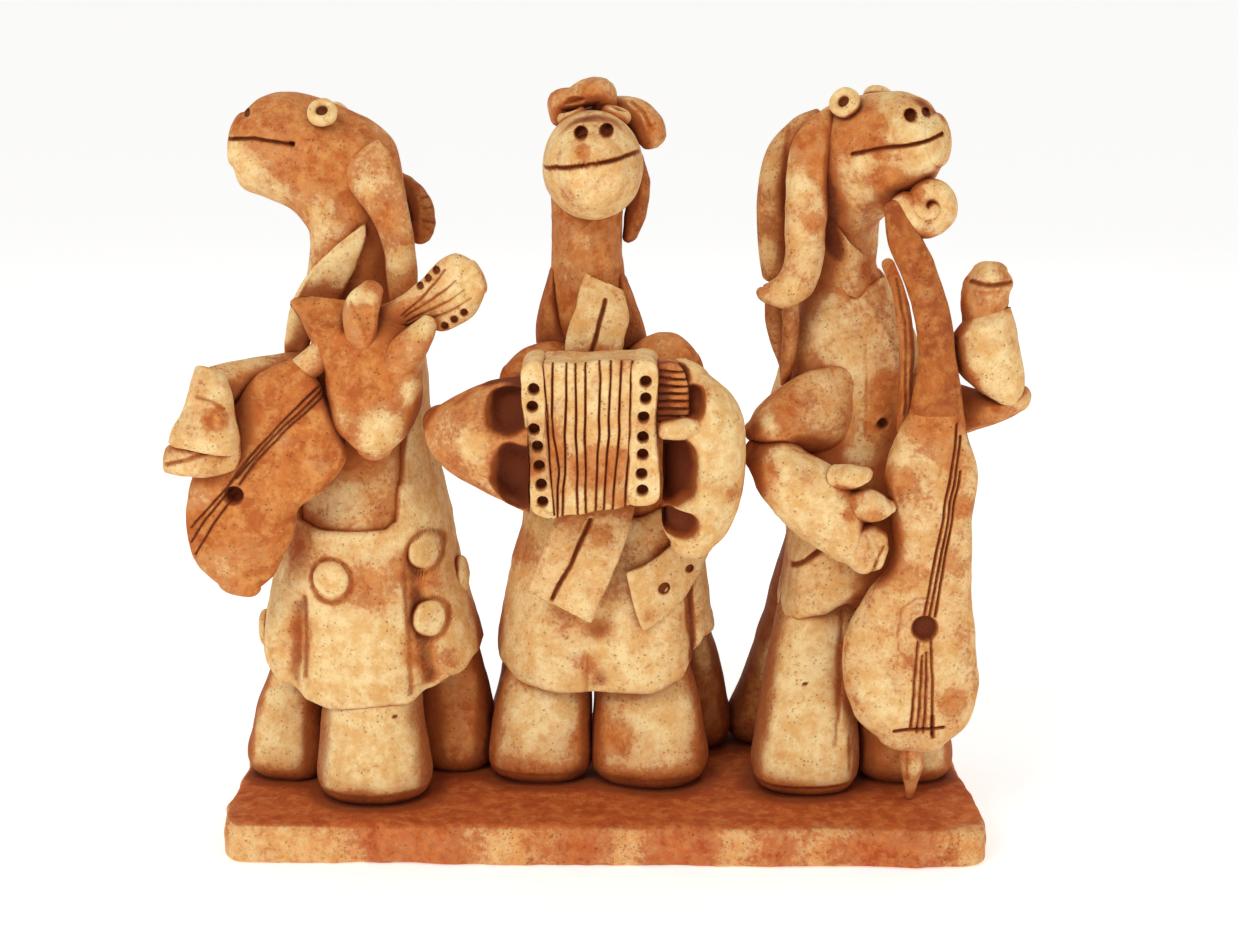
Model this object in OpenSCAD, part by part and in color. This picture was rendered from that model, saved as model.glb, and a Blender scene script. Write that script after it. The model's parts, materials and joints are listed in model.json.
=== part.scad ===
// Three clay musicians on one slab: a lute player, an accordion player and a
// double bass player. Every piece was rolled, cut or pressed on its own and
// then joined, so each one is its own solid here.
// X runs along the slab, the figures face -Y, Z is up, and the origin is the
// middle of the slab's underside.

/* [Slab] */
// Length of the slab
slab_length = 256; // [250:1:262]
// Depth of the slab, front to back
slab_depth = 114; // [110:1:124]
// Thickness of the slab
slab_thick = 14; // [12:0.5:15]
// Corner radius of the slab
slab_corner = 11; // [6:1:20]

/* [Clothes] */
// Wall of the coats
coat_wall = 4; // [3:0.5:6]
// Diameter of a coat button
button_d = 13; // [10:0.5:15]
// Thickness of a coat button
button_t = 4; // [3:0.5:5]

/* [Eyes] */
// Diameter of an eye pellet
eye_d = 11; // [9:0.5:13]
// Thickness of an eye pellet
eye_t = 5; // [4:0.5:6]
// Diameter of the hole poked in an eye pellet
pupil_d = 4; // [3:0.5:5]

/* [Accordion] */
// Height of the accordion
accordion_h = 47; // [44:1:48]
// Depth of the accordion, front to back
accordion_depth = 22; // [18:1:24]
// Width of the bellows
bellows_w = 29; // [26:1:30]
// Number of bellows folds
bellows_folds = 8; // [6:1:10]
// Width of each end panel
panel_w = 8; // [6:0.5:9]
// Number of finger holes down each end panel
panel_holes = 7; // [5:1:8]
// Number of keys
key_count = 7; // [5:1:8]

/* [Double bass] */
// Number of turns in the scroll
scroll_turns = 1.4; // [1:0.1:1.6]
// Height of the end pin
endpin_h = 18; // [16:1:20]

/* [Hidden] */

slip = "burlywood";   // cream slip
clay = "peru";        // bare fired clay
dark = "sienna";      // clay in the shaded wash
top = slab_thick;     // the figures stand on this height

// ---- Lofts -------------------------------------------------------------
// A station is [xa, za, xb, zb, y, d]: two opposite outline points in the
// plane y, and the half depth d across that plane. A loft is a closed skin
// over rings laid through the stations.

function unit(v) = v / max(norm(v), 0.0001);
function signed_pow(v, p) = sign(v) * pow(abs(v), p);
function clamp_row(s, i) = s[max(0, min(i, len(s) - 1))];

// Catmull-Rom value of the station list s at t, where t = i is station i
function along(s, t) =
    let (i = min(floor(t), len(s) - 2), u = t - i,
         a = clamp_row(s, i - 1), b = s[i], c = s[i + 1], e = clamp_row(s, i + 2))
    (2 * b + (c - a) * u + (2 * a - 5 * b + 4 * c - e) * u * u
     + (3 * b - a - 3 * c + e) * u * u * u) / 2;

function middle(r) = [(r[0] + r[2]) / 2, r[4], (r[1] + r[3]) / 2];
function half_width(r) = [(r[2] - r[0]) / 2, 0, (r[3] - r[1]) / 2];

function heading(s, t) =
    let (e = 0.05, lo = max(0, t - e), hi = min(len(s) - 1, t + e))
    unit(middle(along(s, hi)) - middle(along(s, lo)));

// One ring of n points, scaled by k and moved by m along the path
function ring(s, t, n, p, k, m) =
    let (r = along(s, t), h = heading(s, t), w = half_width(r),
         c = middle(r) + h * m, f = unit(cross(h, w)) * r[5])
    [for (j = [0 : n - 1]) let (a = 360 * j / n)
        c + k * (w * signed_pow(cos(a), p) + f * signed_pow(sin(a), p))];

// s: stations, n: points in a ring, steps: rings in each span,
// round: dome height at each end in half depths, p: 1 round, less is squarer
module loft(s, n = 14, steps = 1, round = [0.6, 0.6], p = 1) {
    last = len(s) - 1;
    domes = [55, 28];
    rings = concat(
        [for (a = domes) if (round[0] > 0)
            ring(s, 0, n, p, cos(a), -round[0] * s[0][5] * sin(a))],
        [for (i = [0 : last * steps]) ring(s, i / steps, n, p, 1, 0)],
        [for (i = [1, 0]) if (round[1] > 0)
            ring(s, last, n, p, cos(domes[i]),
                 round[1] * s[last][5] * sin(domes[i]))]);
    m = len(rings);
    pole_a = middle(s[0]) - heading(s, 0) * round[0] * s[0][5];
    pole_b = middle(s[last]) + heading(s, last) * round[1] * s[last][5];
    points = concat([for (r = rings) each r], [pole_a, pole_b]);
    faces = concat(
        [for (i = [0 : m - 2], j = [0 : n - 1]) let (k = (j + 1) % n)
            each [[i * n + j, (i + 1) * n + j, (i + 1) * n + k],
                  [i * n + j, (i + 1) * n + k, i * n + k]]],
        [for (j = [0 : n - 1]) let (k = (j + 1) % n) [m * n, j, k]],
        [for (j = [0 : n - 1]) let (k = (j + 1) % n)
            [m * n + 1, (m - 1) * n + k, (m - 1) * n + j]]);
    polyhedron(points, faces, convexity = 6);
}

// A tube station is [x, y, z, r, d]: a centre, the radius across the path in
// the plane of the path and the reference, and the half thickness.
function tube_ring(s, t, n, up, k, m) =
    let (r = along(s, t), e = 0.05,
         c1 = along(s, min(len(s) - 1, t + e)), c0 = along(s, max(0, t - e)),
         h = unit([c1[0] - c0[0], c1[1] - c0[1], c1[2] - c0[2]]),
         w = unit(cross(up, h)) * r[3], f = unit(cross(h, w)) * r[4],
         c = [r[0], r[1], r[2]] + h * m)
    [for (j = [0 : n - 1]) let (a = 360 * j / n)
        c + k * (w * cos(a) + f * sin(a))];

module tube(s, n = 12, steps = 2, up = [0, 0, 1]) {
    last = len(s) - 1;
    rings = concat(
        [for (a = [55, 28]) tube_ring(s, 0, n, up, cos(a), -0.7 * s[0][4] * sin(a))],
        [for (i = [0 : last * steps]) tube_ring(s, i / steps, n, up, 1, 0)],
        [for (a = [28, 55])
            tube_ring(s, last, n, up, cos(a), 0.7 * s[last][4] * sin(a))]);
    m = len(rings);
    function mean(r) = [for (q = [0 : 2]) (r[0][q] + r[n / 2][q]) / 2];
    points = concat([for (r = rings) each r],
                    [mean(rings[0]) * 1.3 - mean(rings[1]) * 0.3,
                     mean(rings[m - 1]) * 1.3 - mean(rings[m - 2]) * 0.3]);
    faces = concat(
        [for (i = [0 : m - 2], j = [0 : n - 1]) let (k = (j + 1) % n)
            each [[i * n + j, (i + 1) * n + j, (i + 1) * n + k],
                  [i * n + j, (i + 1) * n + k, i * n + k]]],
        [for (j = [0 : n - 1]) let (k = (j + 1) % n) [m * n, j, k]],
        [for (j = [0 : n - 1]) let (k = (j + 1) % n)
            [m * n + 1, (m - 1) * n + k, (m - 1) * n + j]]);
    polyhedron(points, faces, convexity = 6);
}

// The stations s drawn in by t all round
function inset(s, t) = [for (r = s) let (w = unit(half_width(r)) * t)
    [r[0] + w[0], r[1] + w[2], r[2] - w[0], r[3] - w[2], r[4], r[5] - t]];

// Trimmed clay: the first child less the others, kept as one skin
module trimmed() resize([0, 0, 0]) difference() { children(0); children([1 : $children - 1]); }

coat_square = 0.8;    // the coats are a little square in plan

// A coat filled in, for trimming what lies against it
module coat_solid(s) loft(s, n = 16, p = coat_square, round = [0, 0.2]);

// A coat: the wall left between its skin and the body, open at the hem
module coat_shell(s) {
    hem = s[0] - [0, 9, 0, 9, 0, 0];
    difference() {
        coat_solid(s);
        loft(inset(concat([hem], s), coat_wall), n = 16, p = coat_square,
             round = [0, 0.2]);
    }
}

// A leg: a tapering roll that spreads where it was pressed on to the slab
module leg(a, b, y, d, knee = 0, high = 64) {
    low = top + 9;
    mid = top + 26;
    loft([[a[0] + 4, top, b[0] - 4, top, y, d - 4],
          [a[0], low, b[0], low, y, d],
          [a[1], mid, b[1], mid, y + knee / 2, d - 0.5],
          [a[2], high, b[2], high, y + knee, d - 3]],
         n = 16, steps = 2, round = [0, 0.3]);
}

// A round pellet on its side: facing turns it round Z, then tilt lifts it
module pellet(at, facing, tilt, d, t, hole = 0) {
    translate(at) rotate([0, 0, facing]) rotate([90 - tilt, 0, 0]) {
        rotate_extrude($fn = 28) polygon([
            [hole / 2, -t / 2], [d / 2 - 1, -t / 2], [d / 2, -t / 2 + 1.2],
            [d / 2, t / 2 - 1.4], [d / 2 - 1.4, t / 2], [hole / 2 + 0.3, t / 2]]);
    }
}

// ---- Slab --------------------------------------------------------------

module base_slab() color(clay) linear_extrude(slab_thick) {
    l = slab_length / 2;
    w = slab_depth / 2;
    r = slab_corner;
    narrow = 5;   // the right end is cut in towards the back
    corners = [[l - r, -w + r, -90], [l - r - narrow, w - r, 0],
               [-l + r, w - r, 90], [-l + r, -w + r, 180]];
    polygon([for (c = corners, a = [0 : 15 : 90])
        [c[0] + r * cos(c[2] + a), c[1] + r * sin(c[2] + a)]]);
}

// ---- Lute player -------------------------------------------------------

lute_coat_skin = [
    [-119, 48, -44, 50, 0, 36], [-118, 58, -43, 58, 0, 36],
    [-116, 75, -47, 75, 0, 35], [-112, 94, -51, 92, 0, 33],
    [-108, 110, -54, 108, 0, 31], [-105, 130, -58, 128, 0, 27],
    [-102, 150, -60, 148, 0, 23], [-100, 168, -62, 164, 0, 19],
    [-99, 178, -64, 174, 0, 17]];

module lute_player_body() color(clay) trimmed() {
    loft(inset(lute_coat_skin, coat_wall), n = 16, p = coat_square, round = [0, 0.2]);
    translate([-81, 0, 31]) cube([100, 100, 62], center = true);
    lute_head_skin();
}

module lute_head_skin() loft([
    [-119, 241, -123, 223, 0, 12], [-114, 246, -119, 217, 0, 14],
    [-107, 248, -112, 214, 0, 15], [-99, 247, -104, 210, 0, 16],
    [-89, 244, -99, 205, 0, 16], [-78, 240, -98, 200, 0, 16],
    [-69, 231, -99, 194, 0, 16], [-66, 214, -100, 188, 0, 16],
    [-65, 195, -101, 180, 0, 16], [-64, 178, -101, 171, 0, 16]],
    round = [0.25, 0.1]);

module lute_player_head() color(clay) lute_head_skin();

module lute_player_near_ear() color(slip) trimmed() {
    loft([[-87, 226, -75, 233, -14, 3], [-80, 219, -67, 226, -17, 4],
          [-74, 210, -64, 215, -19, 4.5], [-72, 200, -62, 204, -19, 4.5],
          [-72, 190, -61, 193, -19, 4.5], [-71, 180, -61, 182, -19, 4]]);
    lute_head_skin();
}

module lute_player_far_ear() color(dark) trimmed() {
    tube([[-80, 13, 224, 5, 4], [-72, 15, 219, 5, 4], [-65, 12, 214, 5, 4],
          [-62, 8, 208, 5, 4], [-63, 5, 203, 4, 4]], up = [0, 1, 0.4]);
    lute_head_skin();
}

module lute_player_eyes() color(slip) {
    pellet([-91, -13.5, 241.5], 0, 38, eye_d, eye_t, pupil_d);
    pellet([-91, 13.5, 238], 180, 30, eye_d, eye_t, pupil_d);
}

module lute_player_collar() color(slip) trimmed() {
    loft([[-77, 206, -78, 199, -16, 3], [-86, 200, -84, 190, -18, 3],
          [-94, 193, -89, 181, -18, 3], [-99, 187, -95, 176, -16, 3],
          [-102, 178, -98, 166, -13, 3]]);
    lute_head_skin();
    coat_solid(lute_coat_skin);
}

module lute_player_coat() color(slip) trimmed() {
    coat_shell(lute_coat_skin);
    lute_head_skin();
    // the open front, above the waist
    rotate([90, 0, 0]) linear_extrude(60)
        polygon([[-130, 104], [-108, 105], [-90, 103], [-75, 103],
                 [-74, 113], [-71, 122], [-64, 138], [-64, 185], [-130, 185]]);
}

module lute_player_buttons() color(slip) {
    pellet([-90, -32.5, 91], -16, 0, button_d + 1, button_t);
    pellet([-60, -23, 99], 49, 0, button_d, button_t);
    pellet([-58.5, -27, 76], 42, 0, button_d, button_t);
    pellet([-49, -3, 85], 85, 0, button_d - 1, button_t);
    pellet([-117.5, -3, 65], -85, 0, button_d, button_t);
}

module lute_player_strumming_arm() color(clay) trimmed() {
    loft([[-94, 164, -94, 146, -16, 9], [-104, 164, -106, 147, -22, 9],
          [-114, 164, -118, 149, -29, 8], [-123, 163, -126, 150, -38, 7]]);
    coat_solid(lute_coat_skin);
    lute_skin();
    lute_player_strumming_hand();
}

module lute_player_strumming_hand() color(slip) trimmed() {
    union() {
        loft([[-129, 163, -119, 160, -46, 7], [-131, 156, -114, 154, -49, 8],
              [-134, 149, -115, 147, -50, 7], [-136, 143, -117, 141, -50, 6]],
             round = [0.5, 0.3]);
        loft([[-118, 142, -119, 132, -49, 5], [-127, 142, -128, 130, -50, 6],
              [-136, 141, -137, 131, -49, 5]], steps = 2, round = [0.5, 0.4]);
    }
    lute_skin();
}

module lute_player_fretting_arm() color(clay) trimmed() {
    loft([[-81, 138, -69, 136, -35, 8], [-87, 146, -61, 144, -36, 12],
          [-89, 157, -57, 156, -35, 12], [-93, 169, -57, 167, -33, 11],
          [-99, 181, -61, 174, -28, 9]], round = [0.7, 0.3]);
    coat_solid(lute_coat_skin);
    lute_skin();
    lute_neck_skin();
    lute_player_fretting_hand();
}

module lute_player_fretting_hand() color(slip) trimmed() {
    union() {
        loft([[-81, 178, -73, 173, -38, 5], [-81, 186, -69, 179, -40, 6],
              [-76, 190, -66, 184, -38, 5]], n = 12, steps = 2, round = [0.8, 0.6]);
        loft([[-69, 166, -60, 162, -40, 5], [-66, 174, -55, 168, -41, 6],
              [-60, 179, -53, 175, -40, 5]], n = 12, steps = 2, round = [0.8, 0.6]);
    }
    lute_neck_skin();
}

module lute_player_front_leg() color(slip) trimmed() {
    leg([-98, -96, -94], [-58, -61, -63], -24, 18, 8);
    lute_player_body();
}

module lute_player_left_leg() color(slip) trimmed() {
    leg([-125, -121, -112], [-96, -97, -94], -5, 15.5, 3);
    lute_player_body();
    lute_player_front_leg();
}

module lute_player_right_leg() color(clay) trimmed() {
    leg([-67, -66, -64], [-38, -40, -46], 4, 15, 0);
    lute_player_body();
    lute_player_front_leg();
}

module lute_player_back_leg() color(dark) trimmed() {
    leg([-103, -101, -98], [-72, -73, -75], 27, 15, -8);
    lute_player_body();
    lute_player_left_leg();
    lute_player_right_leg();
}

module lute_skin() loft([
    [-128, 96, -114, 91, -39, 5.5], [-134, 105, -104, 95, -39, 7],
    [-136, 116, -101, 106, -39, 7], [-132, 129, -99, 117, -39, 7],
    [-125, 141, -90, 124, -39, 7], [-117, 153, -83, 132, -38, 7],
    [-110, 161, -84, 141, -37, 6.5], [-101, 164, -90, 154, -36, 5]],
    n = 18, p = 0.75, round = [0.8, 0.6]);

module lute_body() color(slip) trimmed() {
    lute_skin();
    coat_solid(lute_coat_skin);
    // the sound hole
    translate([-122, -40, 121]) rotate([90, 0, 0]) cylinder(h = 10, d = 7, $fn = 24);
}

module lute_neck_skin() loft([
    [-104, 163, -98, 157, -36, 3.5], [-84, 177, -78, 169, -34, 3.5],
    [-66, 185, -60, 177, -33, 4], [-59, 190, -51, 174, -32, 4],
    [-53, 196, -45, 177, -32, 4], [-47, 199, -40, 181, -32, 4],
    [-41, 197, -37, 187, -32, 4]], steps = 2, p = 0.8);

module lute_neck() color(slip) trimmed() {
    lute_neck_skin();
    lute_skin();
    // the peg holes
    for (i = [0 : 2]) {
        translate([-59 + 2.6 * i, -34, 187 + 2.6 * i]) cube([2, 6, 2], center = true);
        translate([-50 + 3.2 * i, -34, 178 + 2 * i]) cube([2, 6, 2], center = true);
    }
}

// ---- Accordion player --------------------------------------------------

accordion_coat_skin = [
    [-38, 48, 38, 50, 8, 34], [-38, 57, 39, 58, 8, 34],
    [-36, 70, 37, 70, 8, 33], [-32, 88, 34, 88, 8, 31],
    [-28, 102, 32, 102, 8, 29], [-27, 122, 29, 122, 8, 27],
    [-26, 142, 26, 142, 8, 24], [-23, 157, 18, 157, 7, 20],
    [-19, 168, 10, 168, 6, 15]];

// The neck and the back of the head
module accordion_head_skin() loft([
    [-19, 160, 11, 160, 5, 14], [-19, 172, 9, 172, 5, 14],
    [-19, 186, 7, 186, 5, 13], [-18, 200, 6, 200, 5, 13],
    [-18, 214, 6, 214, 4, 14], [-17, 228, 9, 228, 2, 15],
    [-13, 238, 7, 238, 1, 12]], round = [0.1, 0.5]);

module accordion_player_head() color(slip) resize([0, 0, 0]) union() {
    accordion_head_skin();
    tube([[-5, 2, 226, 13, 13], [-4, -9, 226.5, 15.5, 16.5],
          [-3, -20, 226.5, 15.5, 17], [-3, -31, 226.5, 13, 14]],
         n = 18, steps = 1, up = [0, 0, 1]);
}

module accordion_player_body() color(clay) trimmed() {
    loft(inset(accordion_coat_skin, coat_wall), n = 16, p = coat_square, round = [0, 0.2]);
    translate([0, 8, 31]) cube([100, 100, 62], center = true);
    accordion_head_skin();
}

module accordion_player_hair_curl() color(slip) trimmed() {
    tube([[-13, -5, 240, 4, 5], [-12.5, -8, 245, 4, 5], [-8, -9, 247.5, 4, 5],
          [-3, -8, 249.5, 4, 5], [0, -6, 247, 4, 5], [-1, -3, 243, 4, 4]],
         steps = 1, up = [0, 1, 0]);
    accordion_player_head();
}

module accordion_player_right_ear() color(slip) trimmed() {
    loft([[2, 246, 1, 239, 2, 5], [10, 246, 6, 237, 0, 6],
          [17, 243, 9, 235, -2, 6], [21, 236, 12, 232, -4, 5]],
         round = [0.5, 0.6]);
    accordion_player_head();
}

module accordion_player_left_ear() color(dark) trimmed() {
    loft([[5, 227, 12, 227, 8, 4], [8, 216, 15, 217, 8, 4.5],
          [6, 206, 13.5, 207, 7, 4.5], [6, 200, 11, 200, 6, 4]]);
    accordion_player_head();
}

module accordion_player_eyes() color(slip) trimmed() {
    union() {
        pellet([-10, -12, 241.5], -20, 65, eye_d, eye_t, pupil_d);
        pellet([4, -12, 242], 25, 65, eye_d, eye_t, pupil_d);
    }
    accordion_player_head();
}

module accordion_player_collar() color(dark) trimmed() {
    loft([[-22, 182, 10, 181, 7, 16], [-23, 174, 12, 174, 7, 17],
          [-23, 166, 15, 165, 7, 18]], round = [0, 0]);
    accordion_head_skin();
    translate([-6, -16, 178]) cube([60, 30, 40], center = true);
    coat_solid(accordion_coat_skin);
}

module accordion_player_tie() color(slip) trimmed() {
    loft([[-6, 191, 7, 185, -11, 2.5], [-11, 180, 9, 177, -16, 2.5],
          [-13, 166, 7, 165, -20, 2.5], [-13, 142, 9, 142, -22, 2.5],
          [-13, 122, 11, 122, -24, 2.5], [-17, 107, 10, 109, -26, 2.5],
          [-22, 96, 4, 92, -27, 2.5], [-25, 86, -4, 75, -28, 2.5]],
         steps = 2, p = 0.6, round = [0.4, 0.4]);
    accordion_player_head();
    coat_solid(accordion_coat_skin);
    // the slit pressed down the middle of each end
    translate([-2, -17, 175]) rotate([0, 14, 0]) cube([1.4, 10, 22], center = true);
    translate([-11, -30, 95]) rotate([0, 26, 0]) cube([1.6, 5, 32], center = true);
}

module accordion_player_coat() color(slip) trimmed() {
    coat_shell(accordion_coat_skin);
    accordion_head_skin();
}

module accordion_player_pocket_flap() color(slip) trimmed() {
    loft([[7, 92, 12, 71, -28, 2], [16, 94, 20, 75, -27, 3],
          [26, 99, 28, 80, -21, 3], [35, 97, 36, 89, -8, 2.5]],
         p = 0.6, round = [0.4, 0.4]);
    coat_solid(accordion_coat_skin);
    translate([20, -20, 85]) rotate([90, 0, 0]) cylinder(h = 20, d = 3.8, $fn = 20);
    translate([28, -12, 91]) rotate([90, 0, 25]) cylinder(h = 20, d = 3, $fn = 20);
}

module accordion_player_shoulders() color(clay) trimmed() {
    union() {
        loft([[-15, 164, -15, 150, -9, 7], [-22, 167, -22, 149, -13, 8],
              [-28, 161, -28, 147, -18, 7]]);
        loft([[13, 162, 13, 150, -9, 7], [20, 169, 20, 149, -13, 8],
              [26, 167, 26, 147, -17, 7]]);
    }
    coat_solid(accordion_coat_skin);
    accordion_head_skin();
    accordion_case();
    left_sleeve_skin();
    right_sleeve_skin();
}

module accordion_case() translate([-25, -51, 165 - accordion_h])
    cube([45, accordion_depth + 1, accordion_h]);

module left_sleeve_skin() loft([
    [-51, 149, -52, 137, -36, 9], [-46, 154, -48, 127, -38, 13],
    [-37, 158, -38, 123, -39, 15], [-25, 159, -25, 118, -39, 15]],
    n = 16, steps = 2, round = [0.4, 0]);

module accordion_player_left_sleeve() color(slip) trimmed() {
    left_sleeve_skin();
    loft([[-45, 149, -45, 137, -38, 7], [-39, 154, -40, 128, -39, 11],
          [-20, 155, -20, 121, -39, 12]], steps = 2, round = [0.5, 0]);
    coat_solid(accordion_coat_skin);
    accordion_case();
}

module right_sleeve_skin() loft([
    [27, 162, 37, 159, -36, 10], [22, 150, 44, 150, -37, 13],
    [20, 136, 46, 136, -38, 14], [20, 122, 44, 120, -38, 14],
    [20, 110, 37, 106, -38, 12]], n = 16, steps = 2, round = [0.5, 0.3]);

module accordion_player_right_sleeve() color(slip) trimmed() {
    right_sleeve_skin();
    // the hollow beside the accordion, and the open cuff below it
    loft([[12, 142, 12, 122, -44, 9], [23, 143, 23, 121, -44, 9],
          [32, 139, 32, 125, -44, 6]], n = 12, steps = 2);
    loft([[14, 108, 22, 96, -44, 8], [20, 113, 30, 102, -44, 8],
          [25, 117, 33, 110, -44, 5]], n = 12, steps = 2);
    coat_solid(accordion_coat_skin);
    accordion_case();
    accordion_keyboard();
    accordion_player_pocket_flap();
}

module accordion_player_hands() color(slip) trimmed() {
    union() {
        loft([[-43, 147, -43, 139, -38, 6], [-36, 146, -36, 137, -40, 6],
              [-27, 145, -27, 136, -41, 5]], steps = 2);
        loft([[22, 149, 22, 143, -52, 3], [26, 150, 26, 142, -52, 4],
              [31, 150, 31, 142, -51, 3]], steps = 2);
    }
    accordion_case();
    accordion_keyboard();
    accordion_player_left_sleeve();
    accordion_player_right_sleeve();
}

module accordion_player_left_leg() color(slip) trimmed() {
    leg([-41, -37, -31], [-4, -4, -5], -6, 17, 7);
    accordion_player_body();
}

module accordion_player_right_leg() color(slip) trimmed() {
    leg([-4, -4, -2], [36, 33, 27], -8, 17, 8);
    accordion_player_body();
    accordion_player_left_leg();
}

module accordion_player_back_legs() color(dark) trimmed() {
    union() {
        leg([15, 16, 15], [45, 42, 36], 28, 15, -6);
        leg([-42, -39, -34], [-13, -12, -10], 28, 15, -6);
    }
    accordion_player_body();
    accordion_player_left_leg();
    accordion_player_right_leg();
}

module accordion_bellows() color(slip) translate([-17, -51, 166 - accordion_h])
linear_extrude(accordion_h - 2) {
    pitch = bellows_w / bellows_folds;
    deep = 2;
    polygon(concat(
        [for (i = [0 : bellows_folds - 1]) each
            [[i * pitch, deep], [(i + 0.35) * pitch, 0], [(i + 0.65) * pitch, 0]]],
        [[bellows_w, deep], [bellows_w, accordion_depth - deep]],
        [for (i = [bellows_folds - 1 : -1 : 0]) each
            [[(i + 0.65) * pitch, accordion_depth], [(i + 0.35) * pitch, accordion_depth],
             [i * pitch, accordion_depth - deep]]]));
}

// An end panel with its row of blind finger holes
module end_panel(x) {
    depth = accordion_depth;
    difference() {
        translate([x, -51, 165 - accordion_h]) cube([panel_w, depth, accordion_h]);
        for (i = [0 : panel_holes - 1])
            translate([x + panel_w / 2, -47,
                       169.5 - accordion_h + i * (accordion_h - 9) / (panel_holes - 1)])
                rotate([90, 0, 0]) cylinder(h = 8, d = 3.4, $fn = 20);
    }
}

module accordion_left_panel() color(slip) end_panel(-25);

module accordion_right_panel() color(slip) end_panel(12);

module accordion_keyboard() color(slip) difference() {
    translate([20, -49, 147]) cube([9, 16, 18]);
    for (i = [1 : key_count - 1])
        translate([19, -50, 147 + i * 18 / key_count - 0.6]) cube([11, 4, 1.2]);
}

// ---- Double bass player ------------------------------------------------

bass_leg_top = 92;

bass_coat_skin = [
    [61, 67, 104, 86, 8, 27], [60, 76, 107, 93, 8, 28],
    [62, 90, 110, 102, 8, 29], [62, 108, 112, 114, 8, 29],
    [59, 126, 112, 130, 8, 28], [57, 145, 110, 148, 8, 25],
    [62, 165, 106, 165, 8, 20], [66, 180, 99, 179, 7, 16],
    [70, 189, 95, 187, 6, 13]];

module bass_head_skin() loft([
    [105, 242, 107, 225, -20, 12], [101, 247, 104, 220, -18, 14],
    [94, 249, 98, 215, -13, 15], [84, 247, 91, 209, -7, 16],
    [74, 244, 88, 202, -2, 16], [66, 234, 90, 195, 2, 16],
    [65, 218, 91, 190, 4, 15], [66, 203, 93, 186, 5, 14],
    [68, 188, 96, 178, 6, 14]], round = [0.25, 0.1]);

module bass_player_head() color(clay) bass_head_skin();

module bass_player_body() color(clay) trimmed() {
    loft(inset([for (i = [1 : len(bass_coat_skin) - 1]) bass_coat_skin[i]], coat_wall),
         n = 16, p = coat_square, round = [0, 0.2]);
    bass_head_skin();
}

module bass_player_near_ear() color(slip) trimmed() {
    loft([[64, 243, 76, 243, -10, 4], [61, 232, 74, 232, -14, 5],
          [60, 218, 72, 218, -15, 5], [60, 203, 71, 203, -15, 5],
          [60, 193, 71, 191, -15, 5], [57, 190, 65, 182, -15, 5],
          [53, 188, 56, 181, -15, 4]]);
    bass_head_skin();
    coat_solid(bass_coat_skin);
}

module bass_player_far_ear() color(dark) trimmed() {
    loft([[70, 242, 74, 234, 8, 4], [61, 237, 69, 229, 10, 5],
          [54, 227, 64, 223, 8, 5], [51, 214, 61, 213, 6, 5],
          [52, 199, 61, 199, 4, 5], [53, 189, 62, 188, 4, 4]]);
    bass_head_skin();
    bass_player_near_ear();
}

module bass_player_eyes() color(slip) {
    pellet([78, -15, 246], -35, 28, eye_d, eye_t, pupil_d);
    pellet([90, 2, 245], 140, 60, eye_d, eye_t, pupil_d);
}

module bass_player_hair_strands() color(dark) trimmed() {
    union() {
        loft([[53, 183, 59, 183, -4, 3], [54, 172, 61, 172, -2, 3],
              [57, 162, 61, 161, 0, 2.5]], steps = 2);
        loft([[58, 182, 65, 181, -12, 3], [59, 170, 65, 169, -12, 3],
              [58, 158, 62, 157, -12, 2.5]], steps = 2);
    }
    bass_player_near_ear();
    bass_player_far_ear();
    coat_solid(bass_coat_skin);
}

module bass_player_coat() color(slip) trimmed() {
    coat_shell(bass_coat_skin);
    bass_head_skin();
}

module bass_player_lapel() color(clay) trimmed() {
    loft([[91, 194, 95, 191, -10, 3], [95, 183, 100, 183, -16, 3.5],
          [97, 168, 102, 168, -20, 4], [97, 152, 102, 152, -22, 4],
          [98, 141, 102, 141, -23, 3]]);
    coat_solid(bass_coat_skin);
    bass_head_skin();
}

module bass_player_near_sleeve() color(slip) trimmed() {
    loft([[76, 156, 80, 132, -18, 9], [66, 157, 70, 132, -20, 11],
          [56, 152, 58, 134, -20, 11], [50, 144, 51, 134, -19, 9]],
         round = [0.6, 0.4]);
    coat_solid(bass_coat_skin);
    near_arm_skin();
}

module near_arm_skin() loft([
    [54, 137, 52, 124, -22, 9], [62, 137, 57, 116, -28, 12],
    [72, 131, 68, 107, -32, 12], [82, 127, 79, 103, -35, 11],
    [89, 123, 87, 104, -37, 9], [94, 119, 92, 108, -37, 7]], round = [0.5, 0.3]);

module bass_player_near_arm() color(slip) trimmed() {
    near_arm_skin();
    coat_solid(bass_coat_skin);
    bass_skin();
}

module bass_player_upper_arm() color(clay) trimmed() {
    loft([[106, 156, 108, 136, -4, 9], [118, 152, 120, 138, -12, 9],
          [128, 152, 129, 140, -17, 9], [136, 154, 138, 146, -20, 8]]);
    coat_solid(bass_coat_skin);
    raised_sleeve_skin();
    bass_neck_skin();
}

module raised_sleeve_skin() loft([
    [116, 178, 132, 182, -21, 8], [113, 170, 135, 173, -22, 10],
    [118, 160, 137, 163, -22, 10], [126, 154, 138, 157, -22, 9]], steps = 2,
    round = [0.3, 0.4]);

module bass_player_raised_sleeve() color(slip) trimmed() {
    raised_sleeve_skin();
    bass_neck_skin();
}

module bass_player_fist() color(clay) trimmed() {
    loft([[116, 178, 131, 181, -21, 7], [115, 187, 132, 187, -21, 8],
          [118, 191, 131, 190, -21, 7]], steps = 2, p = 0.8);
    raised_sleeve_skin();
}

module bass_player_front_leg() color(slip) trimmed() {
    leg([51, 54, 64], [88, 86, 81], -13, 18, 20, bass_leg_top);
    bass_player_body();
}

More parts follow.
